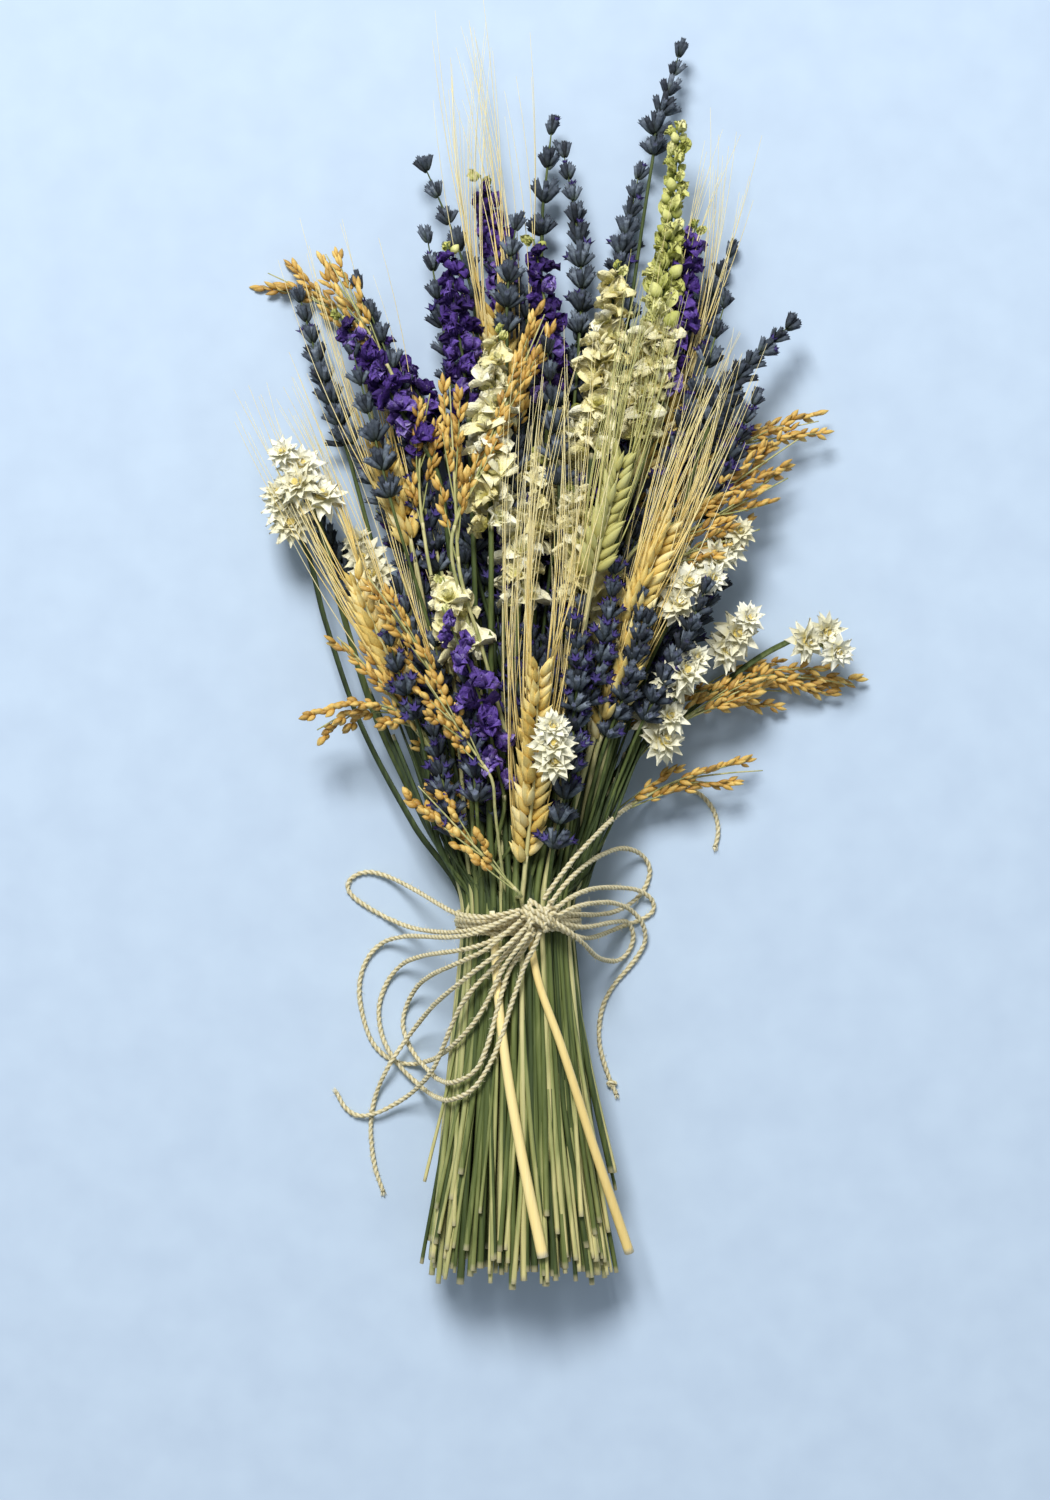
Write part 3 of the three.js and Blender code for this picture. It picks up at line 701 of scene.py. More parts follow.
def add_twine(shape, line, rng, scale=1.0, hairs_per_mm=1.6):
    """Twisted twine along a line: the directions that its section is drawn on turn as it goes."""
    turn = line.distance / PLY_TURN * 2 * math.pi + any_phase(rng)
    cosine, sine = np.cos(turn)[:, None], np.sin(turn)[:, None]
    line.left, line.up = cosine * line.left + sine * line.up, cosine * line.up - sine * line.left
    rings = len(line.points)
    uneven = 1 + 0.05 * np.sin(line.distance / (3.1 * MM) + any_phase(rng))
    section = twine_section() * scale
    radius = uneven[:, None] * section * (1 + rng.normal(0, 0.015, (rings, TWINE_SIDES)))
    shape.add_tube(line, radius, TWINE_SIDES, 0.5)
    # Painted light and shade: the crowns of the plies are painted lighter and the groove between them
    # darker, beside a little random tone.
    painted_ply_light = (section - section.min()) / (section.max() - section.min())
    tints = np.zeros((rings, TWINE_SIDES, 3))
    tints[..., SHADE] = 0.12 + 0.7 * painted_ply_light + rng.normal(0, 0.06, (rings, 1))
    tints[..., ALONG] = 1
    shape.tints[-1] = tints.reshape(-1, 3)
    add_hairs(shape, line, rng, int(line.length / MM * hairs_per_mm))


def add_hairs(shape, line, rng, count):
    """Short stray fibres that stand out of the twine."""
    at, along, left, up = line.at(rng.uniform(0, line.length, count))
    turn = rng.uniform(0, 2 * math.pi, (count, 1))
    out = np.cos(turn) * left + np.sin(turn) * up
    start = at + out * 0.5 * MM
    length = rng.uniform(0.7, 2.2, (count, 1)) * MM
    lean = rng.uniform(-1.4, 1.4, (count, 1))
    middle = start + unit(out + along * lean) * length * 0.5
    end = start + unit(out * 0.35 + along * lean) * length
    end[:, 2] = np.maximum(end[:, 2], FLOOR_GAP)
    shape.add_fibres(start, middle, end, 0.13 * MM, 0.95, rings=4)


def add_frayed_end(shape, line, rng, count=16):
    """The loose fibres at a cut end of twine."""
    tip, ahead = line.points[-1], line.along[-1]
    spread = rng.normal(0, 1, (count, 3))
    start = tip + spread * 0.3 * MM
    end = tip + unit(ahead + 0.35 * spread) * rng.uniform(1.2, 2.3, (count, 1)) * MM
    end[:, 2] = np.maximum(end[:, 2], 0.15 * MM)
    shape.add_fibres(start, (start + end) / 2 + spread * 0.2 * MM, end, 0.32 * MM, 0.9, rings=5)


def tail_knot(shape, at, rng):
    """A small knot near the end of a tail, one turn of the twine round itself."""
    angle = np.linspace(0, 2.3 * math.pi, 40)[:, None]
    height = np.maximum(0, np.sin(angle * 0.5 + 0.6)) * 0.9
    around = np.hstack([np.cos(angle), 0.5 * np.sin(angle), height])
    add_twine(shape, Line(at + around * 1.3 * MM), rng, 0.8, 0)


# Each route is the middle of the twine in metres, from the middle of the tie, as in the CAD source.
bow_routes = {
    "loop_left_1": [
        (0.0009, 0.0049, 0.0408), (-0.006, 0.0032, 0.0406), (-0.014, 0.002, 0.038),
        (-0.021, 0.003, 0.032), (-0.028, 0.006, 0.0225), (-0.036, 0.01, 0.0115), (-0.045, 0.014, 0.0034),
        (-0.053, 0.016, 0.0012), (-0.059, 0.014, 0.001), (-0.0605, 0.01, 0.001),
        (-0.0565, 0.0055, 0.0011), (-0.047, 0, 0.0018), (-0.038, -0.0032, 0.008), (-0.029, -0.004, 0.019),
        (-0.022, -0.0035, 0.0295), (-0.0145, -0.002, 0.0368), (-0.006, 0.0006, 0.0404),
        (0.0005, 0.0025, 0.0406),
    ],
    "loop_left_2": [
        (0.0007, 0.0038, 0.0432), (-0.005, 0.0014, 0.043), (-0.012, -0.0022, 0.0406),
        (-0.019, -0.0044, 0.036), (-0.026, -0.0054, 0.0275), (-0.033, -0.0058, 0.0175),
        (-0.04, -0.0064, 0.0085), (-0.048, -0.009, 0.0024), (-0.054, -0.0155, 0.0011),
        (-0.0565, -0.025, 0.001), (-0.055, -0.036, 0.001), (-0.0515, -0.045, 0.001),
        (-0.0455, -0.0505, 0.001), (-0.0385, -0.0522, 0.0014), (-0.032, -0.0506, 0.006),
        (-0.0276, -0.0476, 0.016), (-0.022, -0.042, 0.03), (-0.015, -0.034, 0.036),
        (-0.01, -0.0255, 0.0382), (-0.005, -0.015, 0.041), (0.0004, -0.0074, 0.0436),
        (0.0043, -0.0025, 0.0434),
    ],
    "loop_left_3": [
        (0.0014, 0.0003, 0.0408), (-0.005, -0.0036, 0.0406), (-0.012, -0.007, 0.0388),
        (-0.02, -0.0094, 0.034), (-0.027, -0.011, 0.025), (-0.034, -0.013, 0.014),
        (-0.041, -0.0165, 0.0046), (-0.0465, -0.023, 0.0012), (-0.0495, -0.032, 0.0011),
        (-0.0486, -0.041, 0.0018), (-0.0454, -0.048, 0.0036), (-0.041, -0.054, 0.0028),
        (-0.0355, -0.059, 0.0036), (-0.0316, -0.0612, 0.01), (-0.028, -0.0618, 0.02),
        (-0.0234, -0.061, 0.0324), (-0.016, -0.057, 0.038), (-0.0105, -0.0495, 0.039),
        (-0.0062, -0.04, 0.0392), (-0.0024, -0.028, 0.0396), (0.002, -0.015, 0.0408),
        (0.006, -0.0066, 0.043), (0.0074, -0.0026, 0.0434),
    ],
    "loop_left_4": [
        (0.0011, 0.0015, 0.0431), (-0.005, -0.0036, 0.0431), (-0.011, -0.0086, 0.0412),
        (-0.018, -0.0124, 0.037), (-0.024, -0.0155, 0.0305), (-0.03, -0.019, 0.0195),
        (-0.0355, -0.024, 0.008), (-0.0395, -0.031, 0.0022), (-0.041, -0.038, 0.0014),
        (-0.039, -0.0446, 0.003), (-0.0356, -0.0496, 0.0062), (-0.0314, -0.0534, 0.0115),
        (-0.0276, -0.0554, 0.0205), (-0.0224, -0.055, 0.0324), (-0.0148, -0.0504, 0.038),
        (-0.0106, -0.042, 0.0388), (-0.007, -0.029, 0.0386), (-0.003, -0.016, 0.0388),
        (0.0024, -0.008, 0.0398), (0.0056, -0.0026, 0.0407),
    ],
    "tail_left_1": [
        (0.0026, -0.001, 0.0433), (-0.003, -0.0066, 0.0438), (-0.009, -0.0114, 0.0432),
        (-0.016, -0.017, 0.0404), (-0.023, -0.023, 0.034), (-0.029, -0.029, 0.023),
        (-0.0345, -0.036, 0.0115), (-0.04, -0.0436, 0.0062), (-0.045, -0.051, 0.006),
        (-0.0488, -0.0585, 0.0034), (-0.0514, -0.066, 0.0012), (-0.0524, -0.074, 0.001),
        (-0.052, -0.082, 0.001), (-0.0506, -0.09, 0.001), (-0.048, -0.0975, 0.001),
    ],
    "tail_left_2": [
        (0.0034, -0.0017, 0.0407), (-0.002, -0.008, 0.0406), (-0.008, -0.0145, 0.0394),
        (-0.014, -0.0208, 0.0376), (-0.019, -0.0274, 0.035), (-0.0228, -0.0354, 0.0308),
        (-0.026, -0.0435, 0.0264), (-0.0298, -0.052, 0.0206), (-0.036, -0.06, 0.0104),
        (-0.043, -0.0656, 0.0046), (-0.0505, -0.0694, 0.0036), (-0.057, -0.0704, 0.0016),
        (-0.0615, -0.0676, 0.0011), (-0.0645, -0.0624, 0.001),
    ],
    "loop_right_1": [
        (0.011, 0.0072, 0.0432), (0.016, 0.0135, 0.0416), (0.022, 0.019, 0.036), (0.029, 0.023, 0.026),
        (0.0365, 0.0248, 0.013), (0.043, 0.0226, 0.0042), (0.0466, 0.0176, 0.0013),
        (0.0453, 0.011, 0.0012), (0.041, 0.0058, 0.0032), (0.0345, 0.0026, 0.01), (0.028, 0.002, 0.0204),
        (0.0224, 0.0026, 0.0305), (0.0174, 0.0034, 0.037), (0.0133, 0.0041, 0.0407),
    ],
    "loop_right_2": [
        (0.0127, 0.0054, 0.0432), (0.018, 0.009, 0.04), (0.0255, 0.0114, 0.03), (0.034, 0.0112, 0.0164),
        (0.042, 0.0098, 0.0066), (0.0472, 0.0064, 0.0024), (0.0478, 0.0022, 0.0012),
        (0.0435, -0.001, 0.0011), (0.0375, -0.003, 0.0026), (0.0314, -0.0048, 0.0115),
        (0.026, -0.0058, 0.0225), (0.0216, -0.0052, 0.0314), (0.0164, -0.003, 0.0378),
        (0.0118, -0.0006, 0.0407),
    ],
    "loop_right_3": [
        (0.0127, 0.0007, 0.0433), (0.0175, -0.0026, 0.0418), (0.0226, -0.0072, 0.0358),
        (0.0268, -0.012, 0.025), (0.031, -0.0146, 0.012), (0.0354, -0.0152, 0.004),
        (0.039, -0.0124, 0.0016), (0.0408, -0.0068, 0.0026), (0.0386, -0.0016, 0.0064),
        (0.0335, -0.001, 0.0144), (0.028, -0.0014, 0.024), (0.0228, -0.0016, 0.0322),
        (0.0174, -0.0004, 0.0378), (0.0132, 0.0017, 0.0407),
    ],
    "tail_right_1": [
        (0.0086, 0.0084, 0.0432), (0.014, 0.016, 0.0426), (0.02, 0.0234, 0.041), (0.0265, 0.03, 0.0366),
        (0.0335, 0.036, 0.0264), (0.043, 0.042, 0.009), (0.054, 0.046, 0.0018), (0.063, 0.0445, 0.001),
        (0.069, 0.0385, 0.001), (0.071, 0.031, 0.001), (0.07, 0.025, 0.001),
    ],
    "tail_right_2": [
        (0.0133, 0.003, 0.0435), (0.019, 0.0056, 0.0412), (0.026, 0.0066, 0.0318), (0.033, 0.006, 0.02),
        (0.0395, 0.003, 0.0104), (0.044, -0.0024, 0.0052), (0.0448, -0.009, 0.0022),
        (0.0404, -0.0166, 0.0011), (0.0345, -0.0235, 0.001), (0.0305, -0.0305, 0.001),
        (0.0288, -0.038, 0.001), (0.029, -0.046, 0.001), (0.0315, -0.055, 0.001), (0.0348, -0.063, 0.001),
    ],
}


KNOTTED_TAIL = "tail_right_2"
POINTS_PAST_KNOT = 8


def make_bow_piece(name, route):
    """One loop or tail of the bow, a cord of its real length."""
    rng = random_for(name)
    points, _ = curve_through(np.array(route) + tie_foot, TWINE_STEP, even=True)
    path = points.copy()
    line = Line(points)
    shape = Shape()
    add_twine(shape, line, rng)
    is_tail = name.startswith("tail")
    if is_tail:
        add_frayed_end(shape, line, rng)
    if name == KNOTTED_TAIL:
        tail_knot(shape, path[-POINTS_PAST_KNOT], rng)
    piece = shape.make(f"{name}_twine", [twine_finish])
    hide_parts(f"bow_{name}")
    tuple(path[0])


for route_name, route in bow_routes.items():
    make_bow_piece(route_name, route)


# ---- The turns round the tie, and the knot ----------------------------------------------------
WRAP_TURNS = 5
POINTS_IN_TURN = 150


def make_wraps():
    """Turns of twine round the tie, side by side."""
    rng = random_for("wraps")
    half = wraps_half - TWINE / 2
    run = 2 * half[1]
    angle = np.linspace(0, WRAP_TURNS * 2 * math.pi, WRAP_TURNS * POINTS_IN_TURN) + math.pi * 0.4
    share = np.linspace(0, 1, len(angle))
    sway = 0.35 * MM * np.sin(angle * 0.83 + 1) + 0.2 * MM * np.sin(angle * 2.3)
    lift = 0.25 * MM * np.sin(angle * 1.7)
    points = np.stack([
        (half[0] + lift) * np.cos(angle),
        run * (share - 0.5) + sway,
        (half[2] + lift) * np.sin(angle),
    ], axis=1)
    points = points + tie_middle
    points[:, 2] = np.maximum(points[:, 2], TWINE / 2)
    shape = Shape()
    add_twine(shape, Line(points), rng, 1.04)
    piece = shape.make("twine_turns", [twine_finish])
    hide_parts("twine_wraps")


# The strands over the knot, as they cross it: the direction each runs in, in degrees to the left of
# +X seen from above, how far it lies to the side of the knot's middle, in millimetres, and its share
# of the height.
knot_strands = (
    (-34, -1.9, 0.86),
    (-30, 0.1, 1.0),
    (-38, 2.0, 0.88),
    (28, -1.4, 0.72),
    (22, 1.2, 0.74),
    (84, -2.9, 0.7),
    (96, 2.8, 0.66),
)
# The core under the strands, in millimetres from the knot's middle, and its width in twines.
knot_core = ((-4, 0, -1), (-1, 0, 0), (2, 0, 0), (4, 0, -1))
CORE_WIDTH = 2.6


def make_knot():
    """The bow's knot: strands drawn tight over each other, round a core of the same twine."""
    rng = random_for("knot")
    low, high = box_corners("twine_knot")
    middle, half = (low + high) / 2, (high - low) / 2
    shape = Shape()
    for degrees, side, height in knot_strands:
        angle = math.radians(degrees)
        along = np.array((math.cos(angle), math.sin(angle), 0))
        across = np.array((-math.sin(angle), math.cos(angle), 0))
        reach = half[0] * math.cos(angle) ** 2 + half[1] * math.sin(angle) ** 2
        turn = np.linspace(-0.15 * math.pi, 1.15 * math.pi, 34)[:, None]
        rise = (half[2] - 0.3 * TWINE) * height
        ring = -np.cos(turn) * along * reach + np.sin(turn) * np.array((0, 0, rise))
        bend = across * (side * MM + 0.5 * MM * np.sin(turn * 1.5))
        add_twine(shape, Line(middle + ring + bend), rng, 1.12, 0.5)
    core, _ = curve_through(middle + np.array(knot_core) * MM, TWINE_STEP)
    add_twine(shape, Line(core), rng, CORE_WIDTH, 0)
    piece = shape.make("bow_knot", [twine_finish])
    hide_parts("twine_knot")


make_wraps()
make_knot()


# ---- Flower heads -----------------------------------------------------------------------------
# Each grows its parts on a line that runs from the head's neck to its tip. These sprigs differ from
# the others of their kind.
loose_whorled = ("lavender_01", "lavender_02", "lavender_03", "lavender_11", "lavender_beside")
violet_lavenders = ("lavender_12", "lavender_13", "lavender_14", "lavender_deep")
small_flowered = ("purple_larkspur_06",)
green_budded = ("cream_larkspur_01",)
pale_green = ("wheat_06",)
round_seeded = ("golden_grass_06", "golden_grass_07", "golden_grass_low")
# The share of the head at its neck that is bare of seeds.
bare_shares = {"golden_grass_05": 0.4, "golden_grass_04": 0.3, "golden_grass_03": 0.2}
# How far the flowers are moved off the CAD line, clear of what they lie on.
flower_moves = {
    "everlasting_01": np.array((0, 0, 8)) * MM,
    "everlasting_02": np.array((0, 0, 8)) * MM,
    "everlasting_03": np.array((4, 2, 24)) * MM,
}
# How far the tip of a head is moved off the CAD line, clear of the twine below it.
bent_heads = {"golden_grass_05": np.array((0, 13, 0)) * MM}
# How far awns reach past the tip of their ear, in millimetres before AWN_GROWTH.
awn_reaches = {
    "wheat_01": 100,
    "wheat_02": 76,
    "wheat_03": 68,
    "wheat_04": 92,
    "wheat_05": 78,
    "wheat_06": 62,
    "wheat_07": 70,
    "wheat_filler": 60,
}
AWN_GROWTH = 1.12
AWNS_TOP = 76 * MM  # no awn rises higher than this, which keeps the bunch near its CAD height


# The two rings of a whorl: the number of cups, how far they lean, in degrees, and their rise.
whorl_rings = ((8, 50, 0.0), (5, 22, 1.0 * MM))
PLAIN_CUP_HALF = 4.4 * MM  # half the width of a spike whose cups keep their own size
CUP_OFF = 0.5 * MM  # from the middle of the spike to the foot of a cup


def lavender_head(shape, line, rng, half, name):
    """Whorls of cups up the spike, smaller towards its tip. Bloom is the share that flowers."""
    gap = (8.6 if name in loose_whorled else rng.uniform(6.0, 7.4)) * MM
    bloom = 0.4 if name in violet_lavenders else rng.choice([0.0, 0.03, 0.08])
    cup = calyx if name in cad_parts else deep_calyx
    whorls = max(4, round(line.length / gap))
    for whorl in range(whorls):
        share = 0.96 * whorl / (whorls - 1)
        fullness = 0.72 + 0.28 * math.sin(math.pi * min(1, 0.25 + share))
        for ring, (count, lean, rise) in enumerate(whorl_rings):
            count = max(4, round(count * (1.05 - 0.5 * share)))
            turn = np.arange(count) * 2 * math.pi / count + rng.normal(0, 0.16, count)
            turn = turn + whorl * 0.7 + ring
            tilt = np.radians(lean * (1.05 - 0.55 * share) + rng.normal(0, 7, count))
            distance = line.length * share + rise + rng.normal(0, 0.3 * MM, count)
            size = fullness * rng.uniform(0.86, 1.18, count) * half / PLAIN_CUP_HALF
            shade = np.clip(rng.normal(0.5, 0.26, count), 0, 1)
            places = np.stack([distance, turn, tilt, size, shade])
            grow_at(shape, cup, line, places, CUP_OFF)
            flowering = places[:, rng.random(count) < bloom]
            flowering[3] *= 0.95
            grow_at(shape, corolla, line, flowering, CUP_OFF)


def grow_at(shape, form, line, places, off):
    """Grows copies of a form, from rows of their distances, turns, tilts, sizes and shades."""
    distance, turn, tilt, size, shade = places
    grow(shape, form, line, distance, turn, tilt, off, size, shade)


PLAIN_FLORET_HALF = 8.5 * MM  # half the width of a spike whose florets keep their own size


def larkspur_head(shape, line, rng, half, florets, buds_from, scale_by, gap, darkest=0.0):
    """Crumpled flowers in a spiral up the spike, a gap apart, with green buds above them. Darkest is
    the lowest shade that a flower may have."""
    count = round(line.length / gap)
    share = (np.arange(count) + 0.5) / count
    turn = np.arange(count) * GOLDEN_ANGLE + rng.normal(0, 0.2, count)
    fullness = 0.66 + 0.5 * np.sin(math.pi * np.clip(share * 0.9 + 0.15, 0, 1))
    scale = fullness * half / PLAIN_FLORET_HALF * scale_by
    for number in range(count):
        one = np.array([share[number] * line.length])
        if share[number] > buds_from:
            add_bud(shape, line, rng, one, turn[number], share[number])
            continue
        tilt = math.radians(rng.normal(58 - 26 * share[number], 8))
        form = florets[rng.integers(len(florets))]
        size = scale[number] * rng.uniform(0.85, 1.1)
        grow(shape, form, line, one, turn[number], tilt, 1.4 * MM, size, rng.uniform(darkest, 1))


def add_bud(shape, line, rng, distance, turn, share):
    """Adds one green bud, closed or half open, at a share of its spike."""
    size = (1.75 - 0.95 * share) * rng.uniform(0.8, 1.15)
    tilt = math.radians(rng.normal(40, 12))
    form = green_bud if rng.random() < 0.3 else budding_florets[rng.integers(len(budding_florets))]
    grow(shape, form, line, distance, turn, tilt, 1.3 * MM * size, size, rng.random(), BUD_SLOT)


def purple_larkspur_head(shape, line, rng, half, name):
    """A purple spike. The small-flowered one is looser and paler."""
    small = name in small_flowered
    size, gap, darkest = (0.9, 4.6 * MM, 0.6) if small else (0.84, 2.6 * MM, 0.0)
    larkspur_head(shape, line, rng, half, purple_florets, 0.92, size, gap, darkest)


def cream_larkspur_head(shape, line, rng, half, name):
    """A cream spike. The green-budded one has few flowers and many buds."""
    buds_from, gap = (0.35, 1.3 * MM) if name in green_budded else (0.92, 2.9 * MM)
    larkspur_head(shape, line, rng, half, cream_florets, buds_from, 0.95, gap)


HUSK_GAP = 2.0 * MM
AWN_SPREAD = 0.06
AWN_THICKNESS = 0.48 * MM


def wheat_head(shape, line, rng, half, name):
    """An ear: spikelets in two overlapping rows, each sending out awns as long as the ear and more."""
    first = len(shape.tints)
    count = round(line.length / HUSK_GAP)
    share = (np.arange(count) + 0.4) / count
    turn = np.where(np.arange(count) % 2 == 0, 0, math.pi) + rng.normal(0, 0.35, count) + 0.5
    tilt = np.radians(rng.normal(31, 5, count) * (1 - 0.4 * share))
    fullness = 0.8 + 0.3 * np.sin(math.pi * np.clip(share + 0.15, 0, 1))
    size = fullness * rng.uniform(0.92, 1.05, count)
    for number, form in enumerate(spikelets):
        these = np.arange(count) % len(spikelets) == number
        places = np.stack([share * line.length, turn, tilt, size])[:, these]
        grow_at(shape, form, line, [*places, rng.random(these.sum())], 1.1 * MM)
    add_awns(shape, line, rng, share, turn, tilt, size, awn_reaches[name] * MM * AWN_GROWTH)
    if name in pale_green:
        shape.mark_since(first, 0.85)


def add_awns(shape, line, rng, share, turn, tilt, size, reach):
    """Adds the awns of an ear: one from each spikelet, and a second one from about 60 %."""
    at, along, left, up = line.at(share * line.length)
    turn, tilt = turn[:, None], tilt[:, None]
    out = np.cos(turn) * left + np.sin(turn) * up
    for part in (1.0, 0.6):
        chosen = rng.random(len(share)) < part
        heading = unit(np.cos(tilt) * along + np.sin(tilt) * out)
        start = at + 1.1 * MM * out + heading * 8.5 * MM * size[:, None]
        fan = unit(line.awns_ahead + rng.normal(0, AWN_SPREAD, out.shape) + 0.22 * AWN_SPREAD * out)
        length = (reach + (1 - share) * line.length * 0.55) * rng.uniform(0.72, 1.03, len(share))
        end = start + fan * length[:, None]
        middle = start + unit(heading * 0.45 + fan) * length[:, None] * 0.45
        for points in (middle, end):
            points[:, 2] = np.clip(points[:, 2], 0.6 * MM, AWNS_TOP)
        shade = 0.7 + 0.3 * rng.random(chosen.sum())
        shape.add_fibres(start[chosen], middle[chosen], end[chosen], AWN_THICKNESS, shade, rings=10)


def everlasting_head(shape, line, rng, half, name):
    """A cluster of flowers on short stalks that fork from the stem's end."""
    move = flower_moves.get(name, 0.0)
    count = 1 + round(line.length / (8 * MM))
    for number in range(count):
        share = (number + 0.6) / count
        at, along, left, up = (values[0] for values in line.at(np.array([share * line.length])))
        turn = rng.uniform(0.15, 0.85) * math.pi + (0 if number % 2 else math.pi * 0.08)
        out = math.cos(turn) * left + math.sin(turn) * up
        facing = unit(along * rng.uniform(0.3, 0.9) + out * rng.uniform(0.4, 0.8) + np.array((0, 0, 0.9)))
        foot = at + out * half * rng.uniform(0.3, 0.75) + move
        form = everlasting_flowers[rng.integers(len(everlasting_flowers))]
        outward = unit(np.cross(facing, rng.normal(0, 1, 3)))
        size = rng.uniform(0.86, 1.08) * (1.0 if number < count - 1 else 0.8)
        shape.add_copies(form, foot[None], facing[None], outward[None], size, rng.random(1))
        root = line.at(np.array([max(0, share - 0.7) * line.length]))[0][0]
        stalk, _ = curve_through([root, (root + foot) / 2 - facing * MM, foot], 1.5 * MM)
        shape.add_tube(Line(stalk), 0.75 * MM, 6, 0.75, STEM_SLOT)


GRASS_BRANCHES = 6
BRANCH_POINTS = 12
SEED_GAP = 3.9 * MM  # from one cluster of three seeds to the next


def grass_head(shape, line, rng, half, name):
    """A panicle: thin branches that leave the stem one by one, each lined with seeds."""
    seed = round_seed if name in round_seeded else pointed_seed
    bare = bare_shares.get(name, 0.0)
    for branch in range(GRASS_BRANCHES):
        start = (bare + (0.66 - bare) * branch / GRASS_BRANCHES) * line.length
        reach = min(line.length - start, line.length * rng.uniform(0.34, 0.55))
        share = np.linspace(0, 1, BRANCH_POINTS)
        at, along, left, up = line.at(start + share * reach)
        turn = branch * GOLDEN_ANGLE + rng.normal(0, 0.3)
        out = math.cos(turn) * left + math.sin(turn) * up
        points = at + out * (half * rng.uniform(0.5, 1.5) * share**0.8)[:, None]
        points[:, 2] = np.maximum(points[:, 2], 1.5 * MM)
        twig = Line(points)
        shape.add_tube(twig, np.linspace(0.35, 0.15, BRANCH_POINTS) * MM, 4, 0.8, STEM_SLOT)
        add_seeds(shape, twig, rng, seed)


def add_seeds(shape, twig, rng, seed):
    """Adds clusters of three seeds along the outer part of a branch."""
    clusters = max(3, round(0.62 * twig.length / SEED_GAP))
    for cluster in range(clusters):
        middle = (0.38 + 0.62 * (cluster + 0.5) / clusters) * twig.length
        distance = np.minimum(middle + np.array((0, 0.9, 2.1)) * MM, twig.length)
        turn = rng.uniform(0, 2 * math.pi) + np.array((-0.9, 0.9, 0.1)) + rng.normal(0, 0.25, 3)
        tilt = np.radians(rng.normal((30, 27, 12), 6))
        size = rng.uniform(0.72, 1.08, 3)
        grow(shape, seed, twig, distance, turn, tilt, 0.5 * MM, size, rng.random(3))


# ---- Stems ------------------------------------------------------------------------------------
round_section = (1.0, 0.93, 1.04, 0.97, 1.02, 0.95)
winged_section = (1.75, 0.7, 1.75, 0.7, 1.75, 0.7)


def add_stem(shape, line, radius, rng, slot=0, section=round_section, shade=None, painted_shade_upwards=0.0):
    """A dried stem: it swells here and there and tapers upwards, and may be painted darker upwards, as
    shade where it runs in under the heads.
    """
    share = np.linspace(0, 1, len(line.points))
    waves = [np.sin(share * rng.uniform(8, 26) + any_phase(rng)) for _ in range(3)]
    waves = sum(waves) / len(waves)
    thickness = radius * (1.08 - 0.35 * share) * (1 + 0.07 * waves)
    shade = rng.random() if shade is None else shade
    # Painted shade: the tone drops from the cut end upwards by the given share, down to a tenth of it.
    tone = shade * np.maximum(0.1, 1 - painted_shade_upwards * share[:, None])
    shape.add_tube(line, thickness[:, None] * section, len(section), tone, slot, mark_ends=1.0)


# ---- Sprigs, on the lines of their CAD nodes --------------------------------------------------
STEM_SLOT, BUD_SLOT = 1, 2  # the material slots of a sprig's stem and buds, past its head's
TIED_STATIONS = 5  # of a CAD sprig, from its cut end to the tie
AWN_STATIONS = 2
LINE_STEP = 2.5 * MM

Kind = namedtuple("Kind", "head_stations stem_radius head_half stem_shade finish grow_head")
kinds = {
    "lavender": Kind(6, 0.85 * MM, 4.6 * MM, None, lavender_finish, lavender_head),
    "purple_larkspur": Kind(6, 1.15 * MM, 8.5 * MM, None, purple_finish, purple_larkspur_head),
    "cream_larkspur": Kind(6, 1.15 * MM, 8.5 * MM, None, cream_finish, cream_larkspur_head),
    "wheat": Kind(5, 1.35 * MM, None, 0.95, wheat_finish, wheat_head),
    "everlasting": Kind(4, 0.95 * MM, 8.5 * MM, None, everlasting_finish, everlasting_head),
    "golden_grass": Kind(5, 0.85 * MM, 4.2 * MM, 0.85, grass_finish, grass_head),
}


def kind_of(node):
    """The name of a sprig's kind, from its own name."""
    return node.rsplit("_", 1)[0]


def stations_of(node):
    """The middles of a CAD sprig's rings, from its cut end to its tip."""
    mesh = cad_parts[node].data
    corners = np.array([vertex.co for vertex in mesh.vertices])
    points, same = np.unique(np.round(corners, 6), axis=0, return_inverse=True)
    same = same.ravel()
    links = [set() for _ in points]
    for face in mesh.polygons:
        joined = {same[corner] for corner in face.vertices}
        for point in joined:
            links[point] |= joined - {point}
    layer = {first_cap(points, links)}
    seen = set(layer)
    middles = []
    while layer:
        middles.append(points[list(layer)].mean(axis=0))
        layer = set().union(*(links[i] for i in layer)) - seen
        seen |= layer
    return np.array(middles[1:-1])


def first_cap(points, links):
    """The middle of the cut end. It is linked to its ring only, so its links meet it and two more."""
    caps = []
    for point, near in enumerate(links):
        if len(near) == 6 and all(len(near & links[other]) == 2 for other in near):
            caps.append(point)
    return min(caps, key=lambda cap: points[cap][1])


class Head(Line):
    """The line of a flower head, and the direction that its awns point in, if it has any."""

    def __init__(self, points, aim):
        super().__init__(points)
        self.awns_ahead = unit(aim - points[-1])


def split_line(stations, kind, bend):
    """The lines of a sprig's stem and of its head, with the head's tip moved off by its bend."""
    aim = stations[-1]
    if kind.grow_head is wheat_head:
        stations = stations[:-AWN_STATIONS]
    points, station = curve_through(stations, LINE_STEP)
    cut = int(np.searchsorted(station, len(stations) - kind.head_stations))
    head = points[cut:]
    return Line(points[: cut + 2]), Head(head + np.linspace(0, 1, len(head))[:, None] * bend, aim)


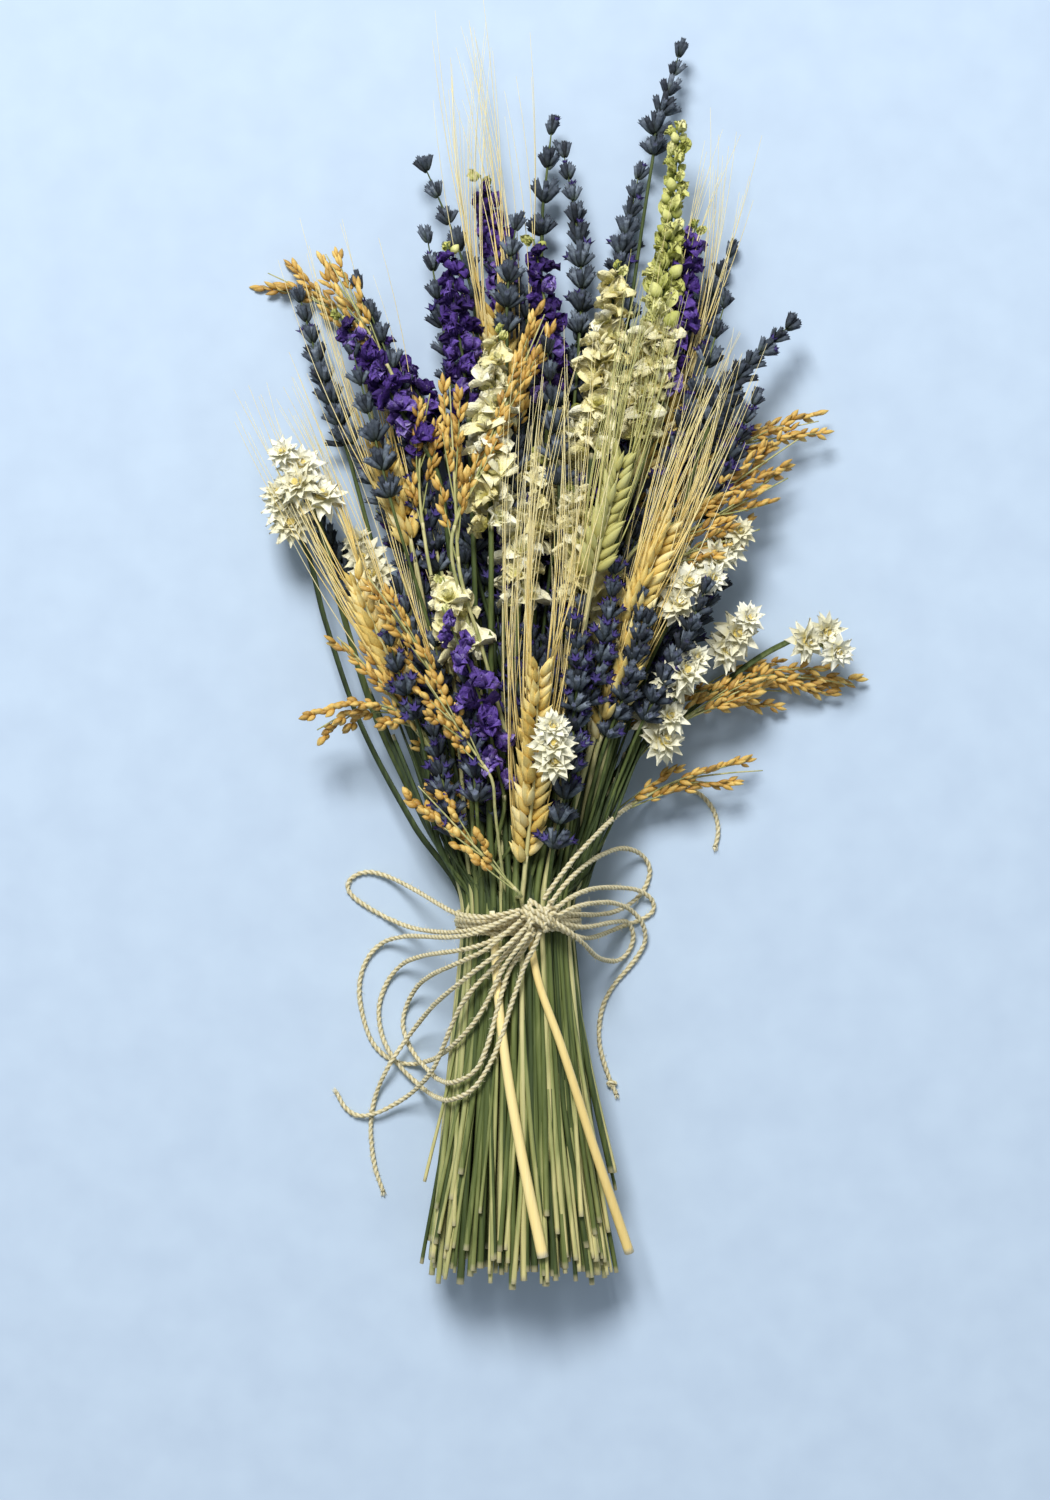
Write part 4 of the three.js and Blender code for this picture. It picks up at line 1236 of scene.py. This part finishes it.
def add_sprig(shape, name, stations, rng):
    """Adds one sprig, its stem and its head, in the material slots that sprig_finishes fills. The
    stem goes on inside its head, but an everlasting's is winged and forks into stalks there."""
    kind = kinds[kind_of(name)]
    stem, head = split_line(stations, kind, bent_heads.get(name, np.zeros(3)))
    any_shade = rng.uniform(0.05, 0.5)
    shade = kind.stem_shade or any_shade
    radius = kind.stem_radius * rng.uniform(0.85, 1.15)
    forks = kind.grow_head is everlasting_head
    add_stem(shape, stem, radius, rng, STEM_SLOT, winged_section if forks else round_section, shade)
    if not forks:
        taper = np.linspace(0.7, 0.25, len(head.points)) * radius
        shape.add_tube(head, taper, 6, shade, STEM_SLOT)
    kind.grow_head(shape, head, rng, kind.head_half, name)


def sprig_finishes(kind):
    """The materials of a sprig's head, stem and buds, in the order of its slots."""
    return [kinds[kind].finish, stem_finish, bud_finish]


def make_sprig(name):
    """The looks of one CAD sprig."""
    shape = Shape()
    add_sprig(shape, name, stations_of(name), random_for(name))
    kind = kind_of(name)
    piece = shape.make(f"{name}_looks", sprig_finishes(kind))
    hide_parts(name)


for sprig_name in sorted(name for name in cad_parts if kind_of(name) in kinds):
    make_sprig(sprig_name)


# ---- Fillers ----------------------------------------------------------------------------------
# The bunch holds many more sprigs than its CAD nodes. They stand among those, deeper in it.
SLOT_PITCH = 2.75 * MM
RING_THICKNESS = 4.6 * MM  # of the twine and of the CAD sprigs' stems, outside the filler stems


def stem_slots(pitch):
    """Places for stems packed side by side inside the tied ring, from its middle, in X and Z."""
    half = (wraps_half - RING_THICKNESS)[[0, 2]]
    row_pitch = pitch * 0.87
    rows = int(half[1] / row_pitch)
    columns = int(half[0] / pitch) + 1
    slots = []
    for row in range(-rows, rows + 1):
        for column in range(-columns, columns + 1):
            share = np.array((column * pitch + (row % 2) * pitch / 2, row * row_pitch)) / half
            if np.hypot(*share) < 1:
                slots.append(share * half)
    return np.array(slots)


core_slots = stem_slots(SLOT_PITCH)
used_slots = iter(random_for("slots").permutation(len(core_slots)))
core_low, core_high = box_corners("stem_core")
core_foot_height = (core_low[2] + core_high[2]) / 2
# Where a filler stem has its stations: how far along from the tie, as a share of the length of its
# cut end or in metres, and its share of the way out to the cut end's spread.
cut_stations = ((-1.0, 1.0), (-0.6, 0.58))
tie_stations = ((-14 * MM, 0.07), (-5 * MM, 0.0), (6 * MM, 0.0))
CUT_END_SPREAD = np.array((0.62, 0.16))  # how much wider and higher the cut end is than the tie
LOWEST_STEM = 1.2 * MM
LOWEST_NECK = 5 * MM


def tied_part(slot, rng):
    """Stations of a filler stem from its cut end to just past the tie."""
    length = rng.uniform(110, 121) * MM
    sway = rng.normal(0, 1.6 * MM, 2)
    stations = []
    for along, share in (*((length * part, share) for part, share in cut_stations), *tie_stations):
        x, z = slot * (1 + CUT_END_SPREAD * share) + sway * share
        height = tie_middle[2] + (core_foot_height - tie_middle[2]) * share + z
        stations.append((tie_middle[0] + x, tie_middle[1] + along, max(LOWEST_STEM, height)))
    return np.array(stations)


def companion(name, rng, turn, share, height_share, slot):
    """The stations of a filler beside a CAD sprig: turned about the tie, shortened, and lower."""
    x, y, z = (stations_of(name)[TIED_STATIONS:] - tie_foot).T
    angle = math.radians(-turn)
    turned_x = x * math.cos(angle) - y * math.sin(angle)
    turned_y = x * math.sin(angle) + y * math.cos(angle)
    z = np.maximum(z * height_share, LOWEST_NECK)
    moved = np.stack([turned_x * share, turned_y * share, z], axis=1) + tie_foot
    return np.concatenate([tied_part(slot, rng), moved])


# For each filler: the number of the CAD sprig of its kind that it stands beside, how far it is
# turned to the right of it, in degrees, and its length and height as shares of that sprig's.
filler_rows = {
    "lavender": [
        (1, 5, 0.86, 0.8), (2, -6, 0.9, 0.7), (2, 7, 0.72, 0.9), (3, 3, 0.7, 0.9),
        (4, -4, 0.78, 0.8), (4, 6, 0.85, 0.6), (5, -4, 0.86, 0.8), (5, 5, 0.72, 0.8),
        (6, -3, 0.78, 0.9), (6, 4, 0.62, 0.9), (7, 4, 0.66, 0.9), (8, -7, 0.84, 0.8),
        (8, -14, 0.95, 0.6), (9, 5, 0.8, 0.9), (10, 6, 0.82, 0.8), (10, -7, 0.72, 0.9),
        (11, 5, 0.66, 0.9), (11, -5, 0.78, 0.8), (12, 8, 0.95, 0.85), (12, 16, 1.2, 0.8),
        (13, -8, 0.95, 0.85), (13, 10, 1.15, 0.8), (14, 8, 0.9, 0.85), (14, 14, 1.05, 0.8),
        (3, -6, 0.55, 0.9), (5, 9, 0.56, 0.9), (4, 12, 0.52, 0.9),
    ],
    "purple_larkspur": [
        (2, 8, 0.76, 0.85), (3, 5, 0.7, 0.9), (5, 6, 0.78, 0.9), (5, -5, 0.66, 0.9),
        (4, -3, 0.7, 0.9), (1, 5, 0.62, 0.9),
    ],
    "cream_larkspur": [
        (3, 4, 0.8, 0.8), (2, -3, 0.78, 0.85), (4, 6, 0.85, 0.8),
    ],
    "wheat": [
        (6, 8, 0.9, 0.8), (3, 10, 0.75, 0.8),
    ],
    "everlasting": [
        (6, 4, 0.8, 0.8), (2, 4, 0.8, 0.8),
    ],
    "golden_grass": [
        (1, -12, 0.9, 0.9), (3, -7, 0.85, 0.9), (5, 8, 0.9, 0.7), (7, 6, 1.3, 0.8),
        (8, -9, 0.9, 0.8), (4, -6, 0.85, 0.9),
    ],
}
FILLERS_IN_PIECE = 9


def make_fillers(kind, rows, group):
    """Some fillers of one kind, as one piece beside the sprigs of its kind."""
    shape = Shape()
    for number, (sprig, turn, share, height_share) in enumerate(rows):
        beside = f"{kind}_{sprig:02}"
        rng = random_for(f"{beside}{turn}{number}")
        slot = core_slots[next(used_slots)]
        add_sprig(shape, f"{kind}_filler", companion(beside, rng, turn, share, height_share, slot), rng)
    piece = shape.make(f"{kind}_fillers_{group}", sprig_finishes(kind))


for filler_kind, rows in filler_rows.items():
    for first in range(0, len(rows), FILLERS_IN_PIECE):
        group_rows = rows[first : first + FILLERS_IN_PIECE]
        make_fillers(filler_kind, group_rows, 1 + first // FILLERS_IN_PIECE)


def reaching(rng, slot, kind, neck, tip):
    """The stations of a filler that goes from its slot in the tie to its neck, and on to its tip."""
    tied = tied_part(slot, rng)
    stem = tied[-1] + (neck - tied[-1]) * np.array([[0.4], [0.75]])
    head = neck + (tip - neck) * np.linspace(0, 1, kinds[kind].head_stations)[:, None]
    return np.concatenate([tied, stem, head])


DEEP_IN_PIECE = 13
DEEP_PIECES = 3
deep_reaches = (34, 62, 92, 124, 48, 78, 108, 142)  # from the tie to the necks, in millimetres
FIRST_LEAN, LEAN_SPREAD = -23, 54  # degrees: where their fan starts, on the left, and how wide it is
GOLDEN_SHARE = 0.382  # of the fan, from each to the next, which spreads them evenly over it
DEEP_HEAD = 46 * MM


def make_deep_lavender(group):
    """Lavender that shows only between the other heads, and makes the bunch close and dark there."""
    shape = Shape()
    for number in range(DEEP_IN_PIECE * (group - 1), DEEP_IN_PIECE * group):
        rng = random_for(f"deep {number}")
        spread = (number * GOLDEN_SHARE) % 1
        lean = math.radians(FIRST_LEAN + LEAN_SPREAD * spread + rng.normal(0, 1.5))
        heading = np.array((math.sin(lean), math.cos(lean), 0))
        reach = deep_reaches[number % len(deep_reaches)] * rng.uniform(0.92, 1.08) * MM
        height = np.array((0, 0, (38 - 32 * abs(lean)) * rng.uniform(0.55, 1.0) * MM))
        neck = tie_foot + heading * reach + height
        tip = neck + heading * DEEP_HEAD
        slot = core_slots[next(used_slots)]
        add_sprig(shape, "lavender_deep", reaching(rng, slot, "lavender", neck, tip), rng)
    piece = shape.make(f"lavender_deep_fillers_{group}", sprig_finishes("lavender"))


# More sprigs that show in the photograph: where each head's neck and tip are, in millimetres from
# the middle of the tie.
placed_heads = (
    ("lavender_beside", (-44, 146, 34), (-57, 197, 30)),
    ("lavender_beside", (14, 149, 40), (10, 197, 36)),
    ("lavender_beside", (59, 170, 24), (72, 215, 22)),
    ("lavender_deep", (-14, 40, 44), (-18, 92, 46)),
    ("lavender_deep", (-22, 28, 38), (-30, 72, 38)),
    ("lavender_deep", (12, 26, 42), (22, 70, 44)),
    ("lavender_deep", (18, 58, 46), (22, 108, 46)),
    ("golden_grass_high", (-22, 132, 52), (9, 206, 52)),
    ("golden_grass_high", (-20, 122, 50), (-23, 182, 50)),
    ("golden_grass_high", (-44, 190, 28), (-67, 232, 20)),
    ("golden_grass_high", (50, 130, 30), (94, 154, 20)),
    ("golden_grass_high", (44, 122, 34), (84, 136, 22)),
    ("golden_grass_high", (40, 128, 34), (98, 168, 16)),
    ("golden_grass_low", (1, 10, 46), (-34, 47, 40)),
    ("golden_grass_low", (-9, 50, 50), (-31, 83, 48)),
    ("purple_larkspur_beside", (-30, 160, 32), (-62, 210, 26)),
    ("purple_larkspur_beside", (50, 180, 26), (62, 243, 22)),
    ("everlasting_beside", (66, 92, 16), (82, 107, 18)),
    ("everlasting_beside", (54, 106, 30), (66, 122, 34)),
)


def make_placed_heads(kind):
    """The sprigs of one kind in the list, as one piece."""
    shape = Shape()
    for name, neck, tip in placed_heads:
        if kind_of(name) != kind:
            continue
        rng = random_for(f"{name}{neck}")
        neck, tip = (tie_foot + np.array(place) * MM for place in (neck, tip))
        slot = core_slots[next(used_slots)]
        add_sprig(shape, name, reaching(rng, slot, kind, neck, tip), rng)
    piece = shape.make(f"{kind}_placed_fillers", sprig_finishes(kind))


for group in range(1, DEEP_PIECES + 1):
    make_deep_lavender(group)
for placed_kind in ("lavender", "golden_grass", "purple_larkspur", "everlasting"):
    make_placed_heads(placed_kind)


# ---- The mass of stems ------------------------------------------------------------------------
OUTER_STEMS = 70
OUTER_RING_THICKNESS = 3.4 * MM  # of what is outside the middles of the outer stems at the tie
LOWEST_FANNED = 2 * MM
FAN_DEGREES = 16 / (15 * MM)  # how far a stem leans out past the tie, per metre it is off its middle


def fanned_part(rng, slot, reach):
    """Stations of a bare stem from the tie up into the spray."""
    lean = math.radians(slot[0] * FAN_DEGREES + rng.normal(0, 4))
    stations = []
    for share in (0.35, 0.7, 1.0):
        x = slot[0] + math.sin(lean) * reach * share
        y = math.cos(lean) * reach * share
        height = tie_middle[2] + slot[1] * (1 - 0.3 * share) - 4 * MM * share
        stations.append((tie_middle[0] + x, tie_middle[1] + y, max(LOWEST_FANNED, height)))
    return np.array(stations)


def make_stem_mass():
    """The stems inside the ring, from their cut ends up into the spray, where they thin out."""
    rng = random_for("stem mass")
    shape = Shape()
    for place in used_slots:
        slot = core_slots[place]
        stations = [tied_part(slot, rng), fanned_part(rng, slot, rng.uniform(45, 120) * MM)]
        line, _ = curve_through(np.concatenate(stations), LINE_STEP)
        # Painted shade: these stems are painted darker from their cut ends upwards, as if shaded deep in
        # the bunch and under the heads.
        add_stem(shape, Line(line), rng.uniform(0.75, 1.35) * MM, rng, painted_shade_upwards=1.2)
    for _ in range(OUTER_STEMS):
        add_outer_stem(shape, rng)
    piece = shape.make("stem_mass", [stem_finish])
    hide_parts("stem_core")


def add_outer_stem(shape, rng):
    """A loose stem over the others below the tie, which crosses some of them."""
    start = rng.uniform(0.06, 0.94) * math.pi
    end = start + rng.normal(0, 0.17)
    half = wraps_half - OUTER_RING_THICKNESS
    length = (rng.uniform(110, 123) if rng.random() < 0.85 else rng.uniform(84, 108)) * MM
    below = ((-length, 1, end), (-0.55 * length, 0.4, (start + end) / 2))
    stations = []
    for along, share, angle in (*below, (-5 * MM, 0, start), (9 * MM, 0, start)):
        wide = half[0] * (1 + 0.72 * share) + rng.uniform(0, 2.4) * MM * share
        high = half[2] * (1 + 0.2 * share) + rng.uniform(0.5, 2.4) * MM * share
        height = tie_middle[2] + (core_foot_height - tie_middle[2]) * share
        x, z = wide * math.cos(angle), high * math.sin(angle)
        stations.append((tie_middle[0] + x, tie_middle[1] + along, height + z))
    tied_slot = stations[-1][0] - tie_middle[0], half[2] * 0.7
    stations = np.concatenate([stations, fanned_part(rng, tied_slot, rng.uniform(30, 100) * MM)])
    line, _ = curve_through(stations, LINE_STEP)
    shade = rng.uniform(0.85, 1.1) if rng.random() < 0.45 else rng.uniform(0.1, 0.7)
    # Painted shade: the outer stems are also painted darker upwards, where they run in under the heads.
    add_stem(shape, Line(line), rng.uniform(0.55, 1.05) * MM, rng, shade=shade, painted_shade_upwards=1.1)


# The two thick straws over the cut stems, in metres from the middle of the tie, and their radii.
straw_routes = (
    [
        (-0.0085, 0.004, 0.0335), (-0.0072, -0.02, 0.0365), (-0.0045, -0.045, 0.0385),
        (0.0015, -0.08, 0.0402), (0.0085, -0.1135, 0.0412),
    ],
    [
        (0.003, 0.006, 0.034), (0.0065, -0.018, 0.0365), (0.0145, -0.041, 0.0378),
        (0.026, -0.077, 0.0345), (0.0385, -0.1145, 0.0272),
    ],
)
straw_radii = (1.75 * MM, 1.55 * MM)
STRAW_SIDES = 10


def make_straws():
    """Two pale wheat straws, thicker than the stems they lie on."""
    rng = random_for("straws")
    shape = Shape()
    for route, radius in zip(straw_routes, straw_radii):
        points, _ = curve_through(np.array(route) + tie_foot, LINE_STEP)
        taper = np.linspace(1.12, 0.8, len(points))
        shape.add_tube(Line(points[::-1]), taper * radius, STRAW_SIDES, rng.random(), mark_ends=1.0)
    piece = shape.make("loose_straws", [straw_finish])


make_stem_mass()
make_straws()


# ---- Floor, camera and light ------------------------------------------------------------------
FLOOR_REACH = 12  # metres each way, past what any view shows


def make_floor():
    """A plain pale floor under the bunch."""
    finish = Finish("pale_floor")
    soft = finish.noise(60, 2.0)
    tone = finish.ramp(soft, [(0.3, colour(186, 204, 224)), (0.7, colour(192, 210, 229))])
    material = finish.dress(tone, 0.9, soft, 0.05 * MM)
    mesh = bpy.data.meshes.new("floor")
    corners = [(FLOOR_REACH * x, FLOOR_REACH * y, 0) for x, y in ((-1, -1), (1, -1), (1, 1), (-1, 1))]
    mesh.from_pydata(corners, [], [(0, 1, 2, 3)])
    mesh.materials.append(material)
    floor = bpy.data.objects.new("floor", mesh)
    bpy.context.scene.collection.objects.link(floor)


CAMERA_DISTANCE = 0.95  # metres above the middle of the bunch's height, BUNCH_MIDDLE
BUNCH_MIDDLE = 0.03
VIEW_HEIGHT = 0.517  # metres of the bunch's length that the photograph's height takes in
VIEW_MIDDLE = np.array((2.4, 59.3, 0)) * MM  # from the middle of the tie
LIGHT_AIM = np.array((0, 60, 0)) * MM


def make_camera():
    """Straight above the bunch, as the photograph was taken."""
    camera = bpy.data.cameras.new("camera")
    camera.sensor_width = 36
    camera.lens = camera.sensor_width * CAMERA_DISTANCE / VIEW_HEIGHT
    holder = bpy.data.objects.new("camera", camera)
    holder.location = tie_foot + VIEW_MIDDLE + (0, 0, BUNCH_MIDDLE + CAMERA_DISTANCE)
    bpy.context.scene.collection.objects.link(holder)
    bpy.context.scene.camera = holder


def make_light(name, energy, size, elevation, azimuth, distance):
    """A soft square light aimed at the bunch. Azimuth 0 is over the flowers, 90 to their left."""
    data = bpy.data.lights.new(name, "AREA")
    data.energy = energy
    data.size = size
    light = bpy.data.objects.new(name, data)
    e, a = math.radians(elevation), math.radians(azimuth)
    away = np.array((-math.sin(a) * math.cos(e), math.cos(a) * math.cos(e), math.sin(e)))
    light.location = tie_foot + LIGHT_AIM + away * distance
    light.rotation_euler = (math.pi / 2 - e, 0, math.pi + a)
    bpy.context.scene.collection.objects.link(light)


def make_world(strength):
    """Even pale light from all round."""
    world = bpy.data.worlds.new("studio")
    world.use_nodes = True
    background = world.node_tree.nodes["Background"]
    background.inputs["Color"].default_value = (0.86, 0.93, 1.0, 1)
    background.inputs["Strength"].default_value = strength
    bpy.context.scene.world = world


bpy.context.scene.view_settings.view_transform = "Standard"
make_floor()
make_camera()
make_light("key", energy=62, size=0.8, elevation=54, azimuth=16, distance=2.4)
make_world(0.36)
